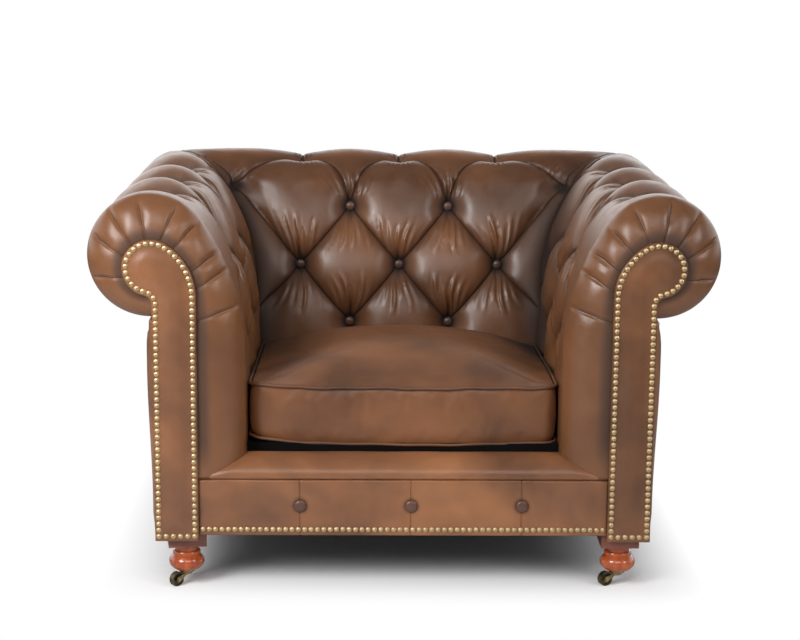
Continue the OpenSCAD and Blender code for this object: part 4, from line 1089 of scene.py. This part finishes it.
small = button_profile(BUTTON_R, BUTTON_T)
large = button_profile(rail_button_r, button_high[1] - button_low[1] + 0.001)
centres = [(PITCH * u, panel_y + back_depth(z) + BUTTON_SUNK, z) for u, z in button_rows((-0.5, 0.5), (-1, 0, 1))]
sets = [("back_buttons", centres, (0, -1, 0), small, BUTTON_SIDES, button_leather)]
for side, name in ((1, "arm_buttons_right"), (-1, "arm_buttons_left")):
    centres = [
        (side * (panel_x + arm_depth(z) + BUTTON_SUNK), arm_place(u, 0), z)
        for u, z in button_rows((0.5, 1.5), (0, 1, 2))
    ]
    sets.append((name, centres, (-side, 0, 0), small, BUTTON_SIDES, button_leather))
centres = [(x, rail_low[1] + RAIL_BUTTON_SUNK, rail_button_z) for x in rail_button_x]
sets.append(("rail_buttons", centres, (0, -1, 0), large, RAIL_BUTTON_SIDES, rail_button_leather))
for name, centres, direction, profile, sides, material in sets:
    piece = ring_piece(name + "_covered", turned(centres, direction, profile, sides), material)
    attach(piece, "frame")
    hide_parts(name)


# ---------- seat cushion ----------
# One loose box cushion: a soft core in a hide cover sewn from a crowned top, a bottom and a band,
# with a piped seam above and below the band. The panels swell between their seams.

CORNER = 0.024
CROWN_PROUD = 0.013
WIDE_STEPS, DEEP_STEPS, BAND_STEPS = 96, 86, 16
SWELL_FRAMES, PRESSURE, EVENING = 16, 4, 70
TOP_INSET, BAND_INSET, DOME_SHARE, CROWN_BACK = 0.004, 0.0048, 0.62, 0.40
SEAM_GAP, BAND_PUFF, BAND_MOVES = 0.0015, 0.0052, 0.0008
FRONT_RISE, REAR_FALL, REAR_ENDS_FALL = 0.0045, 0.020, 0.007
SAG, LEFT_HELD, RIGHT_HELD, HANG_FORWARD = 0.0058, 0.0132, 0.0038, 0.006
cover_low, cover_high = corners_of("cushion_cover")
piping_low, piping_high = corners_of("cushion_piping")
piping_r = (piping_high[1] - piping_low[1]) / 2
top_seam = piping_high[2] - piping_r
low_seam = piping_low[2] + piping_r
crown = cover_high[2] - piping_high[2]
cushion_mid = np.array([0, (cover_low[1] - piping_r + cover_high[1]) / 2])
cushion_half = np.array([cover_high[0], (cover_high[1] - cover_low[1] + piping_r) / 2]) - piping_r


def cushion_outline(u, v, inset):
    """The place in plan of a point (u, v) of the square -1..1, stretched over a rectangle with
    rounded corners that stands inset inside the seams."""
    size = np.maximum(np.maximum(np.abs(u), np.abs(v)), 1e-9)
    half = cushion_half - inset
    flat = np.stack([half[0] * u / size, half[1] * v / size], -1)
    inner = np.clip(flat, -(half - CORNER), half - CORNER)
    off = flat - inner
    length = np.maximum(np.linalg.norm(off, axis=-1, keepdims=True), 1e-9)
    flat = inner + off * np.minimum(1, CORNER / length)
    return cushion_mid + flat * size[..., None]


def seam_lift(u, v):
    """The top seam rises a little towards the front corners, falls to the rear, most at its ends,
    and wanders as sewn hide does; the wander fades inside the top panel."""
    at_seam = 1 - swell(1 - np.maximum(np.abs(u), np.abs(v)), 0.0, 0.25)
    rise = FRONT_RISE * np.abs(u * v) ** 3 * np.where(u < 0, 1.3, 0.8)
    fall = (REAR_FALL + REAR_ENDS_FALL * np.abs(u) ** 3) * ((v + 1) / 2) ** 2
    wander = 0.0009 * np.sin(9 * u + 4 * v + 1) + 0.0006 * np.sin(23 * u - 17 * v)
    return rise - fall + wander * at_seam


def low_lift(u, v):
    """The lower seam sags over the lip in front, least at its left end."""
    front = ((1 - v) / 2) ** 2
    wander = 0.0007 * np.sin(7 * u + 3 * v) + 0.0004 * np.sin(19 * u - 11 * v)
    held = LEFT_HELD * np.maximum(-u, 0) ** 3 + RIGHT_HELD * np.maximum(u, 0) ** 3
    return front * (held - SAG) + wander


def overhang(u, v):
    """How far the lower seam stands forward over the lip."""
    return HANG_FORWARD * (1 - u * u) * swell(-v, 0.8, 1.0)


u, v = np.meshgrid(np.linspace(-1, 1, WIDE_STEPS + 1), np.linspace(-1, 1, DEEP_STEPS + 1), indexing="ij")
plan = cushion_outline(u, v, TOP_INSET)
dome = np.clip((1 - np.abs(u) ** 2.3) * (1 - np.abs(v - CROWN_BACK * (1 - v * v)) ** 2.2), 0, 1)
top_z = top_seam + SEAM_GAP + seam_lift(u, v) + crown * DOME_SHARE * dome**0.6
inside_seam = swell(1 - np.maximum(np.abs(u), np.abs(v)), 0, 0.12)
bottom_z = low_seam - SEAM_GAP
bottom_z = bottom_z + low_lift(u, v) * (1 - inside_seam) - (bottom_z - cover_low[2] - 0.0004) * inside_seam
wide, deep = np.arange(WIDE_STEPS), np.arange(DEEP_STEPS)
rim_i = np.concatenate([wide, np.full(DEEP_STEPS, WIDE_STEPS), WIDE_STEPS - wide, 0 * deep])
rim_j = np.concatenate([0 * wide, deep, np.full(WIDE_STEPS, DEEP_STEPS), DEEP_STEPS - deep])
rim_u, rim_v = u[rim_i, rim_j], v[rim_i, rim_j]
rim_lift, rim_low = seam_lift(rim_u, rim_v), low_lift(rim_u, rim_v)
grid = np.arange(u.size).reshape(u.shape)
cells = np.stack([grid[:-1, :-1], grid[1:, :-1], grid[1:, 1:], grid[:-1, 1:]], -1).reshape(-1, 4)
under = plan - np.stack([0 * u, overhang(u, v)], -1)
points = [np.dstack([plan, top_z]).reshape(-1, 3), np.dstack([under, bottom_z]).reshape(-1, 3)]
rings = [grid[rim_i, rim_j]]
for k in range(BAND_STEPS + 1):
    part = k / BAND_STEPS
    ring = cushion_outline(rim_u, rim_v, BAND_INSET - BAND_PUFF * np.sin(np.pi * part) ** 0.45)
    ring[:, 1] -= overhang(rim_u, rim_v) * part
    fall = low_seam - top_seam + 2 * SEAM_GAP + rim_low - rim_lift
    rings.append(2 * u.size + k * len(rim_u) + np.arange(len(rim_u)))
    points.append(np.column_stack([ring, top_seam - SEAM_GAP + rim_lift + fall * part]))
rings = np.array(rings + [rings[0] + u.size])
quads = np.concatenate([cells, cells[:, ::-1] + u.size, bands(rings)[:, ::-1]])
start = np.concatenate(points)
CUSHION_TONES = ((0.225, 0.09, 0.036, 1), (0.16, 0.065, 0.028, 1), (0.095, 0.04, 0.02, 1))
cushion_leather = leather("cushion_leather", *CUSHION_TONES, marks=True)
cushion = new_piece("seat_cushion_leather", start, quads.tolist(), cushion_leather)
# Painted shade: the top darkens towards its sides and rear, where it sits between the arms and the back.
cushion_shade = (0.55 + 0.15 * u) * swell(np.abs(u), 0.5, 1.0) * swell(v, -0.7, 0.5) + 0.3 * swell(v, 0.0, 0.8)
cushion_shade = np.concatenate([cushion_shade.ravel(), np.zeros(len(start) - u.size)])
give_marks(cushion, cushion_shade, cushion_shade * 0)
moved = np.zeros(start.shape)
sewn = np.unique(np.concatenate([rings[0], rings[1], rings[-2], rings[-1], np.arange(u.size, 2 * u.size)]))
cushion.vertex_groups.new(name="sewn").add(sewn.tolist(), 1.0, "REPLACE")
cloth = cushion.modifiers.new("swell", "CLOTH")
settings = {
    "quality": 5, "mass": 0.4, "tension_stiffness": 25, "compression_stiffness": 25, "shear_stiffness": 10,
    "bending_stiffness": 8, "air_damping": 2, "shrink_min": -0.01, "use_pressure": True,
    "uniform_pressure_force": PRESSURE, "vertex_group_mass": "sewn",
}
for key, value in settings.items():
    setattr(cloth.settings, key, value)
cloth.settings.effector_weights.gravity = 0
cloth.collision_settings.use_collision = False
cloth.point_cache.frame_end = SWELL_FRAMES
for number in range(1, SWELL_FRAMES + 1):
    scene.frame_set(number)
swollen = cushion.evaluated_get(bpy.context.evaluated_depsgraph_get()).to_mesh()
swollen.vertices.foreach_get("co", flat := np.empty(start.size, np.float32))
moved = flat.reshape(-1, 3) - start
cushion.modifiers.remove(cloth)
scene.frame_set(1)

# The top's swelling is evened out between neighbours and scaled to the crown; the bottom stays
# flat on the deck, and the band keeps close to its seams.
rise = top_z + moved[: u.size, 2].reshape(u.shape) - top_seam - seam_lift(u, v)
for _ in range(EVENING):
    rise[1:-1, 1:-1] = (rise[:-2, 1:-1] + rise[2:, 1:-1] + rise[1:-1, :-2] + rise[1:-1, 2:]) / 4
rise = rise * (cover_high[2] + CROWN_PROUD - top_seam) / rise.max()
moved[: u.size] = 0
moved[: u.size, 2] = (top_seam + seam_lift(u, v) + rise - top_z).ravel()
band_move = np.linalg.norm(moved[2 * u.size :], axis=1)
moved[2 * u.size :] *= np.minimum(1, BAND_MOVES / np.maximum(band_move, 1e-9))[:, None]
cushion.data.vertices.foreach_set("co", (start + moved).astype(np.float32).ravel())
smoother = cushion.modifiers.new("subdivide", "SUBSURF")
smoother.levels = smoother.render_levels = 1
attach(cushion, "cushion")
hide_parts("cushion_cover", "cushion_core")

# Each piping is a closed tube along its seam, three times as fine as the panels' rim.
FINER, PIPING_SIDES, PIPING_DARK = 3, 12, 0.8
WELT_TONES = ((0.17, 0.07, 0.032, 1), (0.115, 0.048, 0.024, 1), (0.065, 0.029, 0.018, 1))
welt_leather = leather("welt_leather", *WELT_TONES, marks=True)
count = len(rim_u)
rim = np.arange(count * FINER) / FINER
fine_u = np.interp(rim, np.arange(count + 1), np.append(rim_u, rim_u[0]))
fine_v = np.interp(rim, np.arange(count + 1), np.append(rim_v, rim_v[0]))
a = 2 * np.pi * np.arange(PIPING_SIDES)[:, None, None] / PIPING_SIDES
index = np.arange(len(rim) * PIPING_SIDES).reshape(len(rim), PIPING_SIDES)
polygons = bands(np.concatenate([index, index[:1]])).tolist()
# Painted shade: the piping darkens from the front towards the sides and the rear.
piping_shade = np.repeat(PIPING_DARK * swell(fine_v, -0.97, -0.1), PIPING_SIDES)
pipings = (("cushion_piping_top", top_seam, seam_lift, 0), ("cushion_piping_low", low_seam, low_lift, 1))
for name, seam, lift, hang in pipings:
    centre = np.column_stack([cushion_outline(fine_u, fine_v, 0.0), seam + lift(fine_u, fine_v)])
    centre[:, 1] -= hang * overhang(fine_u, fine_v)
    for _ in range(2):
        centre = (np.roll(centre, 1, 0) + 2 * centre + np.roll(centre, -1, 0)) / 4
    forward = unit(np.roll(centre, -1, 0) - np.roll(centre, 1, 0))
    outward = unit(np.cross(forward, (0, 0, 1.0)))
    tube = centre + piping_r * (np.cos(a) * outward + np.sin(a) * np.cross(outward, forward))
    piping = new_piece(name, tube.transpose(1, 0, 2), polygons, welt_leather)
    give_marks(piping, piping_shade, piping_shade * 0)
    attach(piping, "cushion")
    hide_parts("cushion_piping")


# ---------- nails ----------
# Antiqued brass nails with domed heads, driven in nearly touching. The brass is dark where its
# lacquer has gone.

BLOTCH_SCALE = 160


def metal(name, colour, rough, dark, cavity=0.5):
    """A worn metal: its colour falls to dark in blotches."""
    alloy = Recipe(bpy.data.materials.new(name))
    blotch = alloy.remap(alloy.noise(alloy.place(), BLOTCH_SCALE, 3), 0.4, 0.72, 0.0, cavity)
    return alloy.finish({"Base Color": alloy.tint(blotch, colour, dark), "Metallic": 1.0, "Roughness": rough})


def dress(names, material):
    """Gives CAD nodes one material."""
    for name in names:
        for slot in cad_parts[name].material_slots:
            slot.material = material


nail_brass = metal("nail_brass", (0.8, 0.61, 0.35, 1), 0.49, (0.42, 0.3, 0.14, 1))
dress(("facing_nails_left", "facing_nails_right", "rail_nails"), nail_brass)


# ---------- feet and castors ----------
# Turned bun feet in cherry-stained, lacquered beech under square blocks of the same wood, on small
# brass castors.

ALONG_X, ALONG_Z = (0.12, 1, 1), (1, 1, 0.12)
LACQUER, LACQUER_ROUGH = 0.5, 0.12


def wood(name, light, dark, rough, across=ALONG_Z, scale=70):
    """Stained wood with streaks along one axis. Smooth wood is lacquered."""
    timber = Recipe(bpy.data.materials.new(name))
    place = timber.place()
    drawn_out = timber.node("VectorMath", {0: place, 1: across}, operation="MULTIPLY").outputs[0]
    streaks = timber.math("MULTIPLY", timber.noise(drawn_out, scale, 5, 0.6, 0.4), 0.6)
    both = timber.math("MULTIPLY_ADD", timber.noise(place, 14, 2), 0.4, streaks)
    tone = timber.tint(timber.remap(both, 0.36, 0.64), dark, light)
    coat = {"Coat Weight": LACQUER if rough < 0.4 else 0.0, "Coat Roughness": LACQUER_ROUGH}
    return timber.finish({"Base Color": tone, "Roughness": rough, **coat})


legs = ("front_left", "front_right", "back_left", "back_right")
dress(["foot_" + leg for leg in legs], wood("cherry_lacquer", (0.5, 0.12, 0.03, 1), (0.27, 0.045, 0.014, 1), 0.22))
dress(["foot_plinths"], wood("plinth_stain", (0.21, 0.07, 0.042, 1), (0.11, 0.034, 0.024, 1), 0.42, ALONG_X))
castor_brass = metal("castor_brass", (0.42, 0.34, 0.17, 1), 0.36, (0.1, 0.075, 0.04, 1))
axle_brass = metal("axle_brass", (0.6, 0.5, 0.27, 1), 0.3, (0.2, 0.15, 0.08, 1))
wheel_brass = metal("wheel_brass", (0.2, 0.165, 0.1, 1), 0.45, (0.04, 0.032, 0.022, 1), cavity=0.8)
dress(["castor_plates"] + ["castor_horn_" + leg for leg in legs], castor_brass)
dress(["castor_axle_" + leg for leg in legs], axle_brass)
dress(["castor_wheel_" + leg for leg in legs], wheel_brass)


# ---------- inner frame ----------
# Beech rails and posts, glued blocks, jute webbing, zigzag springs and their clips, all out of sight
# in use; a black cloth closes the bottom, and the platform cloth that carries the cushion is painted
# near-black as the shade in the gap under the cushion.


def woven(name, light, dark, pitch):
    """Plain woven cloth: two sets of threads at right angles, of one pitch."""
    cloth = Recipe(bpy.data.materials.new(name))
    place = cloth.place()
    parts = cloth.node("SeparateXYZ", {0: place}).outputs
    threads = [cloth.math("DIVIDE", cloth.math("PINGPONG", parts[axis], pitch), pitch) for axis in "XY"]
    weave = cloth.math("MULTIPLY", *threads)
    tone = cloth.tint(cloth.math("ADD", weave, cloth.noise(place, 30, 3), clamp=True), dark, light)
    bump = cloth.relief(weave, 0.3, 0.0004)
    return cloth.finish({"Base Color": tone, "Roughness": 0.95, "Specular IOR Level": 0.1, "Normal": bump})


sides = [start + end for start in ("front_post", "back_post", "side_rail") for end in ("_left", "_right")]
rails = ["front_rail", "back_rail", "arm_top_rails", "back_top_rail", "arm_stuffing_rails", "back_stuffing_rail"]
beech = wood("beech", (0.55, 0.38, 0.22, 1), (0.38, 0.24, 0.13, 1), 0.6, ALONG_X, 40)
dress(sides + rails + ["scroll_boards"], beech)
dress(["corner_blocks"], wood("pine_blocks", (0.6, 0.45, 0.25, 1), (0.45, 0.3, 0.15, 1), 0.65, scale=40))
dress(["arm_webbing", "back_webbing"], woven("jute", (0.4, 0.28, 0.15, 1), (0.2, 0.13, 0.06, 1), 0.0012))
dress(["seat_springs", "spring_clips"], metal("spring_steel", (0.35, 0.35, 0.36, 1), 0.4, (0.12, 0.11, 0.1, 1)))
dress(["foot_bolts"], metal("bolt_steel", (0.55, 0.55, 0.56, 1), 0.35, (0.3, 0.3, 0.3, 1)))
# Painted near-black as the shade in the gap under the cushion.
dress(["seat_deck"], woven("platform_cloth_painted_shade", (0.005, 0.004, 0.004, 1), (0.003, 0.0025, 0.0025, 1), 0.0008))
dress(["dust_cover"], woven("black_cloth", (0.02, 0.02, 0.022, 1), (0.008, 0.008, 0.009, 1), 0.0006))
